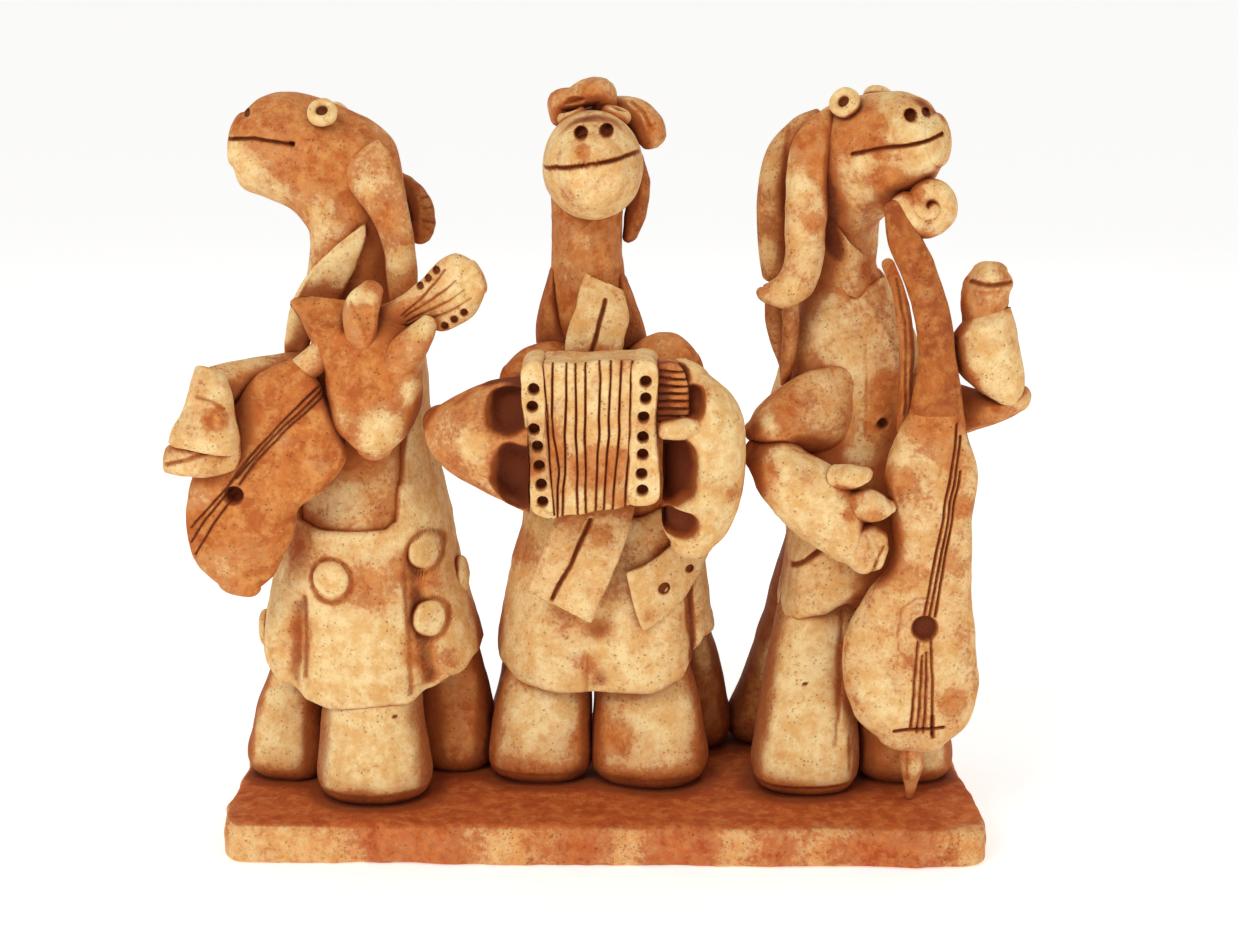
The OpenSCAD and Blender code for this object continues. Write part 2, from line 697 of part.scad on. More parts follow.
module bass_player_right_leg() color(clay) trimmed() {
    leg([90, 91, 92], [121, 118, 110], -5, 15, 6, bass_leg_top);
    bass_player_body();
    bass_player_front_leg();
    bass_skin();
    bass_player_endpin_skin();
}

module bass_player_back_legs() color(dark) trimmed() {
    union() {
        leg([43, 50, 64], [68, 73, 80], 33, 14, -6, bass_leg_top);
        leg([90, 91, 91], [115, 114, 110], 33, 14, -6, bass_leg_top);
    }
    bass_player_body();
    bass_player_front_leg();
    bass_player_right_leg();
}

module bass_skin() loft([
    [91, 38, 114, 36, -32, 5], [84, 44, 122, 42, -32, 7],
    [80, 58, 126, 56, -32, 8], [82, 71, 124, 72, -32, 8],
    [89, 87, 123, 88, -32, 8], [94, 102, 122, 102, -32, 8],
    [92, 115, 122, 116, -32, 8], [93, 128, 123, 128, -32, 8],
    [97, 140, 119, 139, -31, 7], [101, 148, 116, 148, -30, 5]],
    n = 18, p = 0.75, round = [0.6, 0.3]);

module bass_body() color(slip) trimmed() {
    bass_skin();
    coat_solid(bass_coat_skin);
    bass_player_front_leg();
    translate([107, -36, 76]) rotate([90, 0, 0]) cylinder(h = 10, d = 8, $fn = 24);
}

module bass_neck_skin() loft([
    [100, 146, 117, 146, -30, 4.5], [102, 162, 115, 162, -30, 4.5],
    [100, 180, 111, 180, -29, 4.5], [96, 195, 105, 196, -27, 4.5],
    [92, 207, 98, 209, -25, 4], [91, 214, 95, 216, -24, 3.5]],
    steps = 2, p = 0.8, round = [0, 0.4]);

module bass_neck() color(clay) trimmed() {
    bass_neck_skin();
    bass_skin();
    bass_head_skin();
}

module bass_scroll() color(slip) trimmed() {
    turn_count = 14;
    spiral = [for (i = [0 : turn_count]) let (a = 200 - 360 * scroll_turns * i / turn_count,
                                               r = 8 - 5.8 * i / turn_count)
        [104 + r * cos(a), -26, 215 + r * sin(a), 3.8 - 1.6 * i / turn_count, 5]];
    tube(spiral, n = 10, steps = 1, up = [0, -1, 0.001]);
    bass_neck_skin();
    bass_head_skin();
}

module bass_player_endpin_skin() loft([
    [98, top + endpin_h, 110, top + endpin_h, -30, 5],
    [100, top + 9, 109, top + 9, -30, 4.5],
    [103, top, 106, top, -30, 1.8]], steps = 1, round = [0, 0]);

module bass_endpin() color(slip) trimmed() {
    bass_player_endpin_skin();
    bass_skin();
}

base_slab();
lute_player_body();
lute_player_head();
lute_player_near_ear();
lute_player_far_ear();
lute_player_eyes();
lute_player_collar();
lute_player_coat();
lute_player_buttons();
lute_player_strumming_arm();
lute_player_strumming_hand();
lute_player_fretting_arm();
lute_player_fretting_hand();
lute_player_front_leg();
lute_player_left_leg();
lute_player_right_leg();
lute_player_back_leg();
lute_body();
lute_neck();
accordion_player_body();
accordion_player_head();
accordion_player_hair_curl();
accordion_player_right_ear();
accordion_player_left_ear();
accordion_player_eyes();
accordion_player_collar();
accordion_player_tie();
accordion_player_coat();
accordion_player_pocket_flap();
accordion_player_shoulders();
accordion_player_left_sleeve();
accordion_player_right_sleeve();
accordion_player_hands();
accordion_player_left_leg();
accordion_player_right_leg();
accordion_player_back_legs();
accordion_bellows();
accordion_left_panel();
accordion_right_panel();
accordion_keyboard();
bass_player_body();
bass_player_head();
bass_player_near_ear();
bass_player_far_ear();
bass_player_eyes();
bass_player_hair_strands();
bass_player_coat();
bass_player_lapel();
bass_player_near_sleeve();
bass_player_near_arm();
bass_player_upper_arm();
bass_player_raised_sleeve();
bass_player_fist();
bass_player_front_leg();
bass_player_right_leg();
bass_player_back_legs();
bass_body();
bass_neck();
bass_scroll();
bass_endpin();
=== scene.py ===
import json
import math
import bpy
import numpy as np
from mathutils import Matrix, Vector

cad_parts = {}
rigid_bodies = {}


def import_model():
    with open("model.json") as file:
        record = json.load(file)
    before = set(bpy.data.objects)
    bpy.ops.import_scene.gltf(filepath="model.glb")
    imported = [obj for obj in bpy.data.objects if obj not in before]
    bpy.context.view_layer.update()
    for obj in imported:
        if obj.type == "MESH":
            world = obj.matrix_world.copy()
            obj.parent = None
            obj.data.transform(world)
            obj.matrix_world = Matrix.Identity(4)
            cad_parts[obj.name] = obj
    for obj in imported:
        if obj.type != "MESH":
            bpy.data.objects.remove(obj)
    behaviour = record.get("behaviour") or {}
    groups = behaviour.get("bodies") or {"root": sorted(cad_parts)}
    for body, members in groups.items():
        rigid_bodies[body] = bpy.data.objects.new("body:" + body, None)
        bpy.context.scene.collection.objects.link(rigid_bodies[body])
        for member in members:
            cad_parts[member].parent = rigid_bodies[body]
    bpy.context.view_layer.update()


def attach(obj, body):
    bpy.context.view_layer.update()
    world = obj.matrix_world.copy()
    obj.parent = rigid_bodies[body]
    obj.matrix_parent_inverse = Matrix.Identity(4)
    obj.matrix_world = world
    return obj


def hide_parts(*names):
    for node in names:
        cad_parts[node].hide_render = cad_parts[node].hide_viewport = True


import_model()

mm = 0.001          # the lists below are in millimetres, in the frame's own axes
pieces = []         # every clay piece as arrays, before it becomes a mesh
coarse = 1.08       # every step along a surface is this much longer than the piece asks for


# Catmull-Rom curve through rows: for t = i + u it is the usual cubic of the four rows round i
def spline(rows, t):
    rows = np.asarray(rows, float)
    last = len(rows) - 1
    t = np.clip(np.asarray(t, float), 0, last)
    i = np.minimum(np.floor(t).astype(int), max(last - 1, 0))
    u = (t - i)[:, None]
    a, b, c, d = (rows[np.clip(i + k, 0, last)] for k in (-1, 0, 1, 2))
    return 0.5 * (2 * b + (c - a) * u + (2 * a - 5 * b + 4 * c - d) * u ** 2
                  + (3 * b - a - 3 * c + d) * u ** 3)


def unit(v):
    return v / np.maximum(np.linalg.norm(v, axis=-1, keepdims=True), 1e-9)


def signedPower(v, p):
    return np.sign(v) * np.abs(v) ** p


def smooth(v):
    v = np.clip(v, 0, 1)
    return v * v * (3 - 2 * v)


# Angles that walk evenly round x = wide cos a, y = deep sin a, with both powers taken to `square`
def evenAngles(wide, deep, square, step, least=24, most=460):
    a = np.linspace(0, 2 * math.pi, 2881)
    ring = np.stack([wide * signedPower(np.cos(a), square), deep * signedPower(np.sin(a), square)], 1)
    run = np.concatenate([[0], np.cumsum(np.linalg.norm(np.diff(ring, axis=0), axis=1))])
    count = int(np.clip(run[-1] / step, least, most))
    return np.interp(np.linspace(0, run[-1], count, endpoint=False), run, a)


# Lattice noise from -1 to 1: random corner values of a cube grid of that size, blended by smooth(u)
# on each axis
def noise(points, size, seed):
    table = np.random.default_rng(seed).uniform(-1, 1, (32, 32, 32))
    q = np.asarray(points) / size + 500
    low = np.floor(q).astype(int)
    f = smooth(q - low)
    total = 0
    for dx in (0, 1):
        for dy in (0, 1):
            for dz in (0, 1):
                weight = 1
                for axis, step in enumerate((dx, dy, dz)):
                    weight = weight * (f[..., axis] if step else 1 - f[..., axis])
                x, y, z = ((low[..., axis] + step) % 32 for axis, step in enumerate((dx, dy, dz)))
                total = total + weight * table[x, y, z]
    return total


# Rings along a path: point(a) = centre + half cos a + front sin a, with both powers taken to `square`.
# A quarter ellipse closes each end: centre + head * reach sin b, with rings that shrink by cos b.
def domed(centre, head, half, front, reach, broad, a, square, step):
    parts = []
    for k, sign in ((0, -1), (-1, 1)):
        bend = np.linspace(0, math.pi / 2, max(int(broad[k] / step), 5))[1:-1]
        bend = bend[::-1] if k == 0 else bend
        rise, shrink = (sign * reach[k] * np.sin(bend))[:, None], np.cos(bend)[:, None]
        parts.append((centre[k] + head[k] * rise, half[k] * shrink, front[k] * shrink))
    c, h, f = (np.concatenate([parts[0][q], m, parts[1][q]])[:, None]
               for q, m in enumerate((centre, half, front)))
    across, deep = (signedPower(w, square)[None, :, None] for w in (np.cos(a), np.sin(a)))
    return c + h * across + f * deep, [centre[0] - head[0] * reach[0], centre[-1] + head[-1] * reach[-1]]


# A roll of clay. A row is [xa, za, xb, zb, y, d]: two opposite outline points at depth y, and the half
# depth d. Half runs from one to the other, and front is at right angles to half and to the path.
def roll(rows, step=0.9, square=1.0, ends=(0.5, 0.5), **_):
    step = step * coarse
    t = np.linspace(0, len(rows) - 1, 60 * len(rows))
    fine = spline(rows, t)
    middle = np.stack([(fine[:, 0] + fine[:, 2]) / 2, fine[:, 4], (fine[:, 1] + fine[:, 3]) / 2], 1)
    sides = np.linalg.norm(np.diff(fine[:, :4], axis=0).reshape(-1, 2, 2), axis=2).max(1)
    travel = np.maximum(sides, np.linalg.norm(np.diff(middle, axis=0), axis=1))
    run = np.concatenate([[0], np.cumsum(travel)])
    count = max(int(run[-1] / step), 4)
    at = np.interp(np.linspace(0, run[-1], count), run, t)
    r = spline(rows, at)
    centre = np.stack([(r[:, 0] + r[:, 2]) / 2, r[:, 4], (r[:, 1] + r[:, 3]) / 2], 1)
    half = np.stack([(r[:, 2] - r[:, 0]) / 2, 0 * r[:, 0], (r[:, 3] - r[:, 1]) / 2], 1)
    near = spline(rows, at - 0.04), spline(rows, at + 0.04)
    ends3 = [np.stack([(q[:, 0] + q[:, 2]) / 2, q[:, 4], (q[:, 1] + q[:, 3]) / 2], 1) for q in near]
    head = unit(ends3[1] - ends3[0])
    front = unit(np.cross(head, half)) * r[:, 5:6]
    wide = np.linalg.norm(half, axis=1)
    reach = ends[0] * r[0, 5], ends[1] * r[-1, 5]
    broad = max(wide[0], r[0, 5]), max(wide[-1], r[-1, 5])
    a = evenAngles(wide.max(), r[:, 5].max(), square, step)
    return domed(centre, head, half, front, reach, broad, a, square, step)


# A tube: the same roll about a free path. A row is [x, y, z, r, d]: the centre, the radius in the plane
# at right angles to `up`, and the half thickness along `up`.
def tube(rows, step=0.9, up=(0, 1, 0), ends=(0.7, 0.7), **_):
    step = step * coarse
    t = np.linspace(0, len(rows) - 1, 60 * len(rows))
    fine = spline(rows, t)
    run = np.concatenate([[0], np.cumsum(np.linalg.norm(np.diff(fine[:, :3], axis=0), axis=1))])
    at = np.interp(np.linspace(0, run[-1], max(int(run[-1] / step), 6)), run, t)
    r = spline(rows, at)
    head = unit(spline(rows, at + 0.04)[:, :3] - spline(rows, at - 0.04)[:, :3])
    side = unit(np.cross(np.asarray(up, float), head))
    half, front = side * r[:, 3:4], unit(np.cross(head, side)) * r[:, 4:5]
    around = int(np.clip(math.pi * (r[:, 3].max() + r[:, 4].max()) / step, 20, 300))
    reach = ends[0] * r[0, 4], ends[1] * r[-1, 4]
    a = np.linspace(0, 2 * math.pi, around, endpoint=False)
    return domed(r[:, :3], head, half, front, reach, (r[0, 3], r[-1, 3]), a, 1.0, step)


# A coat: a wall of clay closed on itself. A row is [z, xa, xb, y, d], the plan of the outside at height z:
# x = middle + half cos a, y = y + d sin a, with both powers taken to `square`. hem and top are rows
# [angle in degrees, z]. Each ring runs up the outside, over the top rim, down the inside and round the hem.
def coat(rows, hem, top, wall=4, step=0.9, square=0.8, folds=(), **_):
    step = step * coarse
    rows, hem, top = np.asarray(rows, float), np.asarray(hem, float), np.asarray(top, float)
    a = evenAngles((rows[:, 2] - rows[:, 1]).max() / 2, rows[:, 4].max(), square, step)
    degrees = np.degrees(a)
    lowest, highest = (wrapCurve(degrees, line) for line in (hem, top))
    tall = int((highest - lowest).max() / step)
    arc = np.linspace(0, math.pi, 7)[1:-1]
    t = np.concatenate([np.linspace(0, 1, tall), np.ones(5), np.linspace(1, 0, tall // 2), np.zeros(5)])
    sunk = np.concatenate([np.zeros(tall), (1 - np.cos(arc)) / 2, np.ones(tall // 2), (1 + np.cos(arc)) / 2])
    bulge = np.concatenate([np.zeros(tall), np.sin(arc), np.zeros(tall // 2), -np.sin(arc)])
    z = lowest[None] + (highest - lowest)[None] * t[:, None]
    row = spline(rows, np.interp(z.ravel(), rows[:, 0], np.arange(len(rows)))).reshape(z.shape + (5,))
    lift = np.zeros_like(z)
    for angle, wide, low, high, height in folds:  # soft ridges, or dents where height is below zero
        turn = (degrees - angle + 180) % 360 - 180
        within = smooth((z - low) / 8 + 1) * smooth((high - z) / 8 + 1)
        lift += height * np.exp(-(turn / wide) ** 2)[None] * within
    inset = wall * sunk[:, None] - lift * (1 - sunk[:, None])
    c, s = (signedPower(w, square) for w in (np.cos(a), np.sin(a)))
    x = (row[..., 1] + row[..., 2]) / 2 + ((row[..., 2] - row[..., 1]) / 2 - inset) * c
    y = row[..., 3] + (row[..., 4] - inset) * s
    return np.stack([x, y, z + bulge[:, None] * wall / 2], 2), None


# A closed curve of (angle, value) points, with smooth steps between them
def wrapCurve(degrees, line):
    angle = np.concatenate([[line[-1, 0] - 360], line[:, 0], [line[0, 0] + 360]])
    value = np.concatenate([[line[-1, 1]], line[:, 1], [line[0, 1]]])
    i = np.clip(np.searchsorted(angle, degrees, side="right") - 1, 0, len(angle) - 2)
    return value[i] + (value[i + 1] - value[i]) * smooth((degrees - angle[i]) / (angle[i + 1] - angle[i]))


# A plate of clay: its outline (x, z) is walked at even steps, and rings of it run from the middle of the
# front, out over an edge rounded by `edge`, and back to the middle behind.
# Ring k = middle + (outline - middle) scale.
def plate(outline, front, back, edge=1.2, step=0.6, corner=1.5, **_):
    step = step * coarse
    loop = np.asarray(outline, float)
    closed = np.concatenate([loop, loop[:1]])
    run = np.concatenate([[0], np.cumsum(np.linalg.norm(np.diff(closed, axis=0), axis=1))])
    count = int(run[-1] / step)
    walk = np.linspace(0, run[-1], count, endpoint=False)
    line = np.stack([np.interp(walk, run, closed[:, k]) for k in (0, 1)], 1)
    for _ in range(max(int((corner / step) ** 2 * 2), 1)):  # soften the corners
        line = line * 0.5 + (np.roll(line, 1, 0) + np.roll(line, -1, 0)) * 0.25
    middle = line.mean(0)
    reach = np.linalg.norm(line - middle, axis=1).max()
    flat = np.linspace(0.02, 1, int(reach / step))
    arc = np.linspace(0, math.pi / 2, 6)
    size = np.linalg.norm(line - middle, axis=1)
    rings, depth = [], []
    for s in flat[:-1]:
        rings.append(middle + (line - middle) * s * (1 - edge / size)[:, None])
        depth.append(front + 0 * size)
    for q in arc:
        rings.append(line - (line - middle) / size[:, None] * edge * (1 - math.sin(q)))
        depth.append(front + edge * (1 - math.cos(q)) + 0 * size)
    for s in np.linspace(0, 1, max(int((back - front - 2 * edge) / step), 3))[1:-1]:
        rings.append(line)
        depth.append(front + edge + (back - front - 2 * edge) * s + 0 * size)
    for q in arc[::-1]:
        rings.append(line - (line - middle) / size[:, None] * edge * (1 - math.sin(q)))
        depth.append(back - edge * (1 - math.cos(q)) + 0 * size)
    for s in flat[:-1][::-1][::3]:
        rings.append(middle + (line - middle) * s * (1 - edge / size)[:, None])
        depth.append(back + 0 * size)
    rings, depth = np.array(rings), np.array(depth)
    grid = np.stack([rings[..., 0], depth, rings[..., 1]], 2)
    poles = [np.array([middle[0], front, middle[1]]), np.array([middle[0], back, middle[1]])]
    if np.cross(line[0] - middle, line[1] - middle) > 0:
        grid = grid[:, ::-1]
    return grid, poles


# A thing turned round its own axis: profile rows are (radius, height), walked from the middle of the
# front to the middle of the back. Point = at + radius (cos a, sin a) in the plane + height along `facing`.
def turned(profile, at, facing, step=0.5, **_):
    step = step * coarse
    rows = np.asarray(profile, float)
    run = np.concatenate([[0], np.cumsum(np.linalg.norm(np.diff(rows, axis=0), axis=1))])
    walk = np.linspace(0, run[-1], max(int(run[-1] / step), 12))
    radius, height = (np.interp(walk, run, rows[:, k]) for k in (0, 1))
    for _ in range(3):
        radius[1:-1] = radius[1:-1] * 0.5 + (radius[2:] + radius[:-2]) * 0.25
        height[1:-1] = height[1:-1] * 0.5 + (height[2:] + height[:-2]) * 0.25
    out = unit(np.asarray(facing, float))
    right = unit(np.cross(out, (0.1, 0.2, 1.0)))
    up = np.cross(right, out)
    a = np.linspace(0, 2 * math.pi, int(np.clip(2 * math.pi * radius.max() / step, 36, 120)), endpoint=False)
    spoke = right * np.cos(a)[:, None] + up * np.sin(a)[:, None]
    grid = np.asarray(at, float) + radius[1:-1, None, None] * spoke[None] + height[1:-1, None, None] * out
    poles = [np.asarray(at) + out * height[0], np.asarray(at) + out * height[-1]]
    return grid, poles


# Outward normals of a grid: the cross product of the step round it and the step along it
def normals(grid, wrapped):
    if wrapped:
        along = np.roll(grid, -1, 0) - np.roll(grid, 1, 0)
    else:
        along = np.gradient(grid, axis=0)
    return unit(np.cross(np.roll(grid, -1, 1) - np.roll(grid, 1, 1), along))


# Distance from points to a polyline: the nearest of its segments, each by projection on to it
def lineDistance(points, path):
    best = np.full(points.shape[:-1], 1e9)
    for a, b in zip(np.asarray(path, float)[:-1], np.asarray(path, float)[1:]):
        along = b - a
        share = np.clip(((points - a) @ along) / max(along @ along, 1e-9), 0, 1)
        best = np.minimum(best, np.linalg.norm(points - a - share[..., None] * along, axis=-1))
    return best


# cuts: (path, width, depth), a scored line; ridges: the same, raised. holes: (x, z, radius, depth), poked
# from the front. hollows: (x, z, rx, rz, depth), pressed deep with a thumb. Each is worked in x and z, on
# the faces turned to `facing`, and moves the clay by depth times a falloff of the distance.
def handWork(grid, piece, wrapped):
    n = normals(grid, wrapped)
    seed = piece.get("seed", len(pieces) + 3)
    for size, height in piece.get("lumps", ((22, 0.7), (9, 0.35), (3.5, 0.12))):
        grid = grid + n * (noise(grid, size, seed + int(size)) * height)[..., None]
    n = normals(grid, wrapped)
    facing = unit(np.asarray(piece.get("facing", (0, -1, 0)), float))
    toward = smooth((n @ facing - 0.05) / 0.25)
    plan = grid[..., (0, 2)]
    wander = np.stack([noise(grid, 6, seed + 50), noise(grid, 6, seed + 51)], -1) * 0.35
    # pressed: how much dark wash and painted shade lie in hollows, scored lines and holes
    pressed = np.zeros(plan.shape[:-1])
    move = np.zeros_like(grid)
    for x, z, rx, rz, depth in piece.get("hollows", ()):
        away = np.linalg.norm((plan - (x, z)) / (rx, rz), axis=-1) + noise(grid, 5, seed + 9) * 0.15
        well = smooth((1.12 - away) / 0.5) * toward
        move -= facing * (well * depth)[..., None]
        pressed = np.maximum(pressed, well ** 1.7 * min(1, depth / 8) * 0.95)
    for path, width, depth in piece.get("cuts", ()):
        away = lineDistance(plan + wander, path) / width
        score = np.clip(1 - away, 0, 1) ** 0.8 * toward
        burr = np.exp(-((away - 1.5) / 0.45) ** 2) * toward
        move -= facing * (score * depth - burr * 0.12 * min(depth, 1.5))[..., None]
        pressed = np.maximum(pressed, score ** 0.6 * min(1, depth / 1.2))
    for path, width, height in piece.get("ridges", ()):
        away = lineDistance(plan + wander, path) / width
        move += facing * (np.exp(-away ** 2) * height * toward)[..., None]
    for x, z, radius, depth in piece.get("holes", ()):
        away = np.linalg.norm(plan + wander * 0.5 - (x, z), axis=-1) / radius
        well = smooth((1.15 - away) / 0.35) * toward
        burr = np.exp(-((away - 1.35) / 0.2) ** 2) * toward
        move -= facing * (well * depth - burr * 0.25)[..., None]
        pressed = np.maximum(pressed, well)
    slip = np.full(plan.shape[:-1], float(piece.get("slip", 0.6)))
    for x, z, radius, value in piece.get("patches", ()):
        share = smooth(1.25 - np.linalg.norm(plan - (x, z), axis=-1) / radius)
        slip = slip * (1 - share) + value * share
    return grid + move, pressed, slip


# lutePlayerHead stands for the frame's node lute_player_head
def nodeName(name):
    return "".join("_" + c.lower() if c.isupper() else c for c in name)


# Keeps one shaped and worked piece for the build
def add(piece, grid, poles):
    grid, pressed, slip = handWork(grid, piece, poles is None)
    along = np.linspace(0, 1, len(grid))[:, None]
    if "floor" in piece:
        grid[..., 2] = np.maximum(grid[..., 2], piece["floor"])
    if "rim" in piece:   # dark wash and painted shade round a pressed-on pellet
        pressed = np.maximum(pressed, smooth((along - piece["rim"]) / 0.16) * 0.85)
    if "pit" in piece:   # and the dark wash and painted shade in the hole of a ring
        pressed = np.maximum(pressed, smooth((piece["pit"] - along) / 0.08) * 0.8)
    pieces.append(dict(piece, node=piece.get("node", nodeName(piece["name"])),
                       grids=[(grid, poles, pressed, slip, piece["solid"])]))


# `solid` is how far under the surface there is clay
def addRoll(**piece):
    add(dict(piece, solid=np.median([row[-1] for row in piece["rows"]])), *roll(**piece))


def addTube(**piece):
    add(dict(piece, solid=np.median([row[-1] for row in piece["rows"]])), *tube(**piece))


def addCoat(**piece):
    add(dict(piece, solid=piece["wall"]), *coat(**piece))


def addPlate(**piece):
    add(dict(piece, solid=(piece["back"] - piece["front"]) / 2), *plate(**piece))


def addTurned(**piece):
    add(dict(piece, solid=2), *turned(**piece))


# Several shapes that are one piece, such as the two eyes of a head
def addSet(shapes, **shared):
    first = len(pieces)
    for make, settings in shapes:
        make(**dict(shared, **settings))
    group = pieces[first:]
    del pieces[first:]
    pieces.append(dict(group[0], grids=[g for p in group for g in p["grids"]]))


slab = dict(
    long=256, deep=114, thick=14, corner=11, cutIn=5,   # cutIn: how far the right end leans in at the back
    edge=2.6, ragged=1.1,
)


# Point(ring, a) = middle + (outline(a) - middle) * size(ring), at the ring's own height: out over the
# underside, up the side over two rounded edges, and in over the top
def slabSurface(step=1.04):
    l, w, r = slab["long"] / 2, slab["deep"] / 2, slab["corner"]
    corners = [(l - r, -w + r, -90), (l - r - slab["cutIn"], w - r, 0),
               (-l + r, w - r, 90), (-l + r, -w + r, 180)]
    loop = np.concatenate([np.stack([x + r * np.cos(q), y + r * np.sin(q)], 1)
                           for x, y, start in corners for q in [np.radians(start + np.arange(0, 91, 6))]])
    closed = np.concatenate([loop, loop[:1]])
    run = np.concatenate([[0], np.cumsum(np.linalg.norm(np.diff(closed, axis=0), axis=1))])
    walk = np.linspace(0, run[-1], int(run[-1] / step), endpoint=False)
    line = np.stack([np.interp(walk, run, closed[:, k]) for k in (0, 1)], 1)
    out = unit(np.stack([np.roll(line, -1, 0)[:, 1] - np.roll(line, 1, 0)[:, 1],
                         np.roll(line, 1, 0)[:, 0] - np.roll(line, -1, 0)[:, 0]], 1))
    e, thick = slab["edge"], slab["thick"]
    arc = np.linspace(0, math.pi / 2, 6)
    flat = np.linspace(0.01, 1, 60)
    profile = [(0, 0, s) for s in flat[:-1:3]]
    profile += [(e * 0.6 * (1 - math.sin(q)), e * 0.6 * (1 - math.cos(q)), 1) for q in arc]
    profile += [(0, z, 1) for z in np.arange(e, thick - e, step)]
    profile += [(e * (1 - math.cos(q)), thick - e * (1 - math.sin(q)), 1) for q in arc]
    profile += [(e, thick, s) for s in flat[:-1][::-1]]
    rings = []
    for inset, z, share in profile:
        ring = (line - out * inset) * share
        rings.append(np.concatenate([ring, np.full((len(ring), 1), z)], 1))
    grid = np.array(rings)
    rough = noise(grid * (1, 1, 0.5), 13, 71) * slab["ragged"] + noise(grid, 4, 72) * 0.35
    away = np.clip(grid[..., :2], (-l + 12, -w + 12), (l - 17, w - 12))
    nearSide = smooth((np.linalg.norm(grid[..., :2] - away, axis=-1) - 6) / 6)
    grid[..., :2] += unit(grid[..., :2] - away + 1e-6) * (nearSide * (rough - 0.7))[..., None]
    # the left end is a torn edge
    torn = smooth((-grid[..., 0] - l + 8) / 6)
    grid[..., 0] += torn * (1.2 + noise(grid * (0.2, 1, 0.4), 9, 73) * 1.6)
    above = smooth(grid[..., 2] / thick)
    grid[..., 2] += above * (noise(grid * (1, 1, 0), 26, 74) * 0.5 - smooth((grid[..., 0] + 20) / 130) * 1.2
                             * smooth((-grid[..., 1] - 40) / 16))
    grid[..., 2] = np.clip(grid[..., 2], 0, thick + 0.3)
    return grid, [np.array([0, 0, 0.0]), np.array([0, 0, grid[-1, :, 2].mean()])]


add(dict(name="claySlab", node="base_slab", slot="bare_clay", look="slab", slip=0.6, floor=0, solid=7,
         lumps=((30, 0.1), (6, 0.1)),
         patches=[(-112, 6, 22, 0.66), (-62, 8, 24, 0.36), (-10, 6, 16, 0.46), (28, 8, 16, 0.34),
                  (60, 8, 14, 0.44), (96, 7, 22, 0.4), (126, 6, 10, 0.6)]), *slabSurface())
# the slip was wiped off the top, and stayed on the sides and near the two ends
grid, poles, pressed, slip, solid = pieces[-1]["grids"][0]
ends = smooth((np.abs(grid[..., 0] - 2) - 112) / 22) * smooth((noise(grid, 13, 71) + 0.5) / 0.6)
slip -= (0.52 - 0.46 * ends) * smooth((grid[..., 2] - 12.6) / 1.4)
print("slab shaped")


top = slab["thick"]


# A leg: rows from the slab up, from its widths (left, right) at the foot, the knee and under the coat
def leg(name, slot, a, b, y, d, knee=0, high=64, **more):
    z = (top - 0.3, top + 1.6, top + 4.5, top + 9, top + 16, top + 26, (top + 26 + high) / 2, high)
    left = np.interp(z, (top + 9, top + 26, high), a)
    right = np.interp(z, (top + 9, top + 26, high), b)
    tuck = (4.6, 2.0, 0.5, 0, 0, 0, 0, 0)
    lean = np.interp(z, (top + 9, high), (0, knee))
    thin = np.interp(z, (top + 9, high), (0, 3))
    rows = [[l + t, h, r - t, h, y + n, d - t * 0.9 - s]
            for l, r, h, t, n, s in zip(left, right, z, tuck, lean, thin)]
    return dict(dict(name=name, slot=slot, rows=rows, ends=(0.04, 0.3), square=0.86, step=0.95,
                     floor=top - 0.4, lumps=((20, 0.9), (8, 0.3), (3, 0.1)), foot=True), **more)


addRoll(**leg("lutePlayerFrontLeg", "rubbed_slip", (-98, -96, -94),
              (-58, -61, -63), -24, 18, 8, slip=0.86, holes=[(-69.5, 44, 0.8, 0.5)]))
addRoll(**leg("lutePlayerLeftLeg", "rubbed_slip", (-125, -121, -112),
              (-96, -97, -94), -5, 15.5, 3, slip=0.74, square=0.78))
addRoll(**leg("lutePlayerRightLeg", "bare_clay", (-67, -66, -64), (-38, -40, -46),
              4, 15, 0, slip=0.42, patches=[(-57, 50, 7, 0.7)]))
addRoll(**leg("lutePlayerBackLeg", "washed_clay", (-103, -101, -98),
              (-72, -73, -75), 27, 15, -8, slip=0.4))
addRoll(**leg("accordionPlayerLeftLeg", "rubbed_slip", (-41, -37, -31),
              (-4, -4, -5), -6, 17, 7, slip=0.6, patches=[(-22, 40, 13, 0.86), (-6, 30, 5, 0.2)],
              cuts=[([(-30, 33), (-20, 30)], 0.5, 0.25)]))
addRoll(**leg("accordionPlayerRightLeg", "rubbed_slip", (-4, -4, -2),
              (36, 33, 27), -8, 17, 8, slip=0.62, patches=[(22, 40, 12, 0.9), (4, 32, 7, 0.3)]))
addSet([(addRoll,
         leg("accordionPlayerBackLegs", "washed_clay", (15, 16, 15),
             (45, 42, 36), 28, 15, -6, patches=[(38, 52, 10, 0.75)])),
        (addRoll,
         leg("accordionPlayerBackLegs", "washed_clay", (-42, -39, -34),
             (-13, -12, -10), 28, 15, -6))], name="accordionPlayerBackLegs", slip=0.4)
addRoll(**leg("bassPlayerFrontLeg", "rubbed_slip", (51, 54, 64), (88, 87, 91), -13,
              18, 20, 92, slip=0.82, square=0.76, patches=[(84, 60, 6, 0.3), (80, 86, 8, 0.3)],
              cuts=[([(81, 76), (80.5, 52), (78.5, 32)], 0.8, 0.7), ([(83.5, 34), (84, 22)], 0.6, 0.5)],
              ridges=[([(83, 60), (82.5, 30)], 1.8, 0.8)], holes=[(68.5, 52, 0.6, 0.8)]))
addRoll(**leg("bassPlayerRightLeg", "bare_clay", (86, 86, 88), (121, 118, 110), -5,
              15, 6, 92, slip=0.48, patches=[(112, 24, 8, 0.75)]))
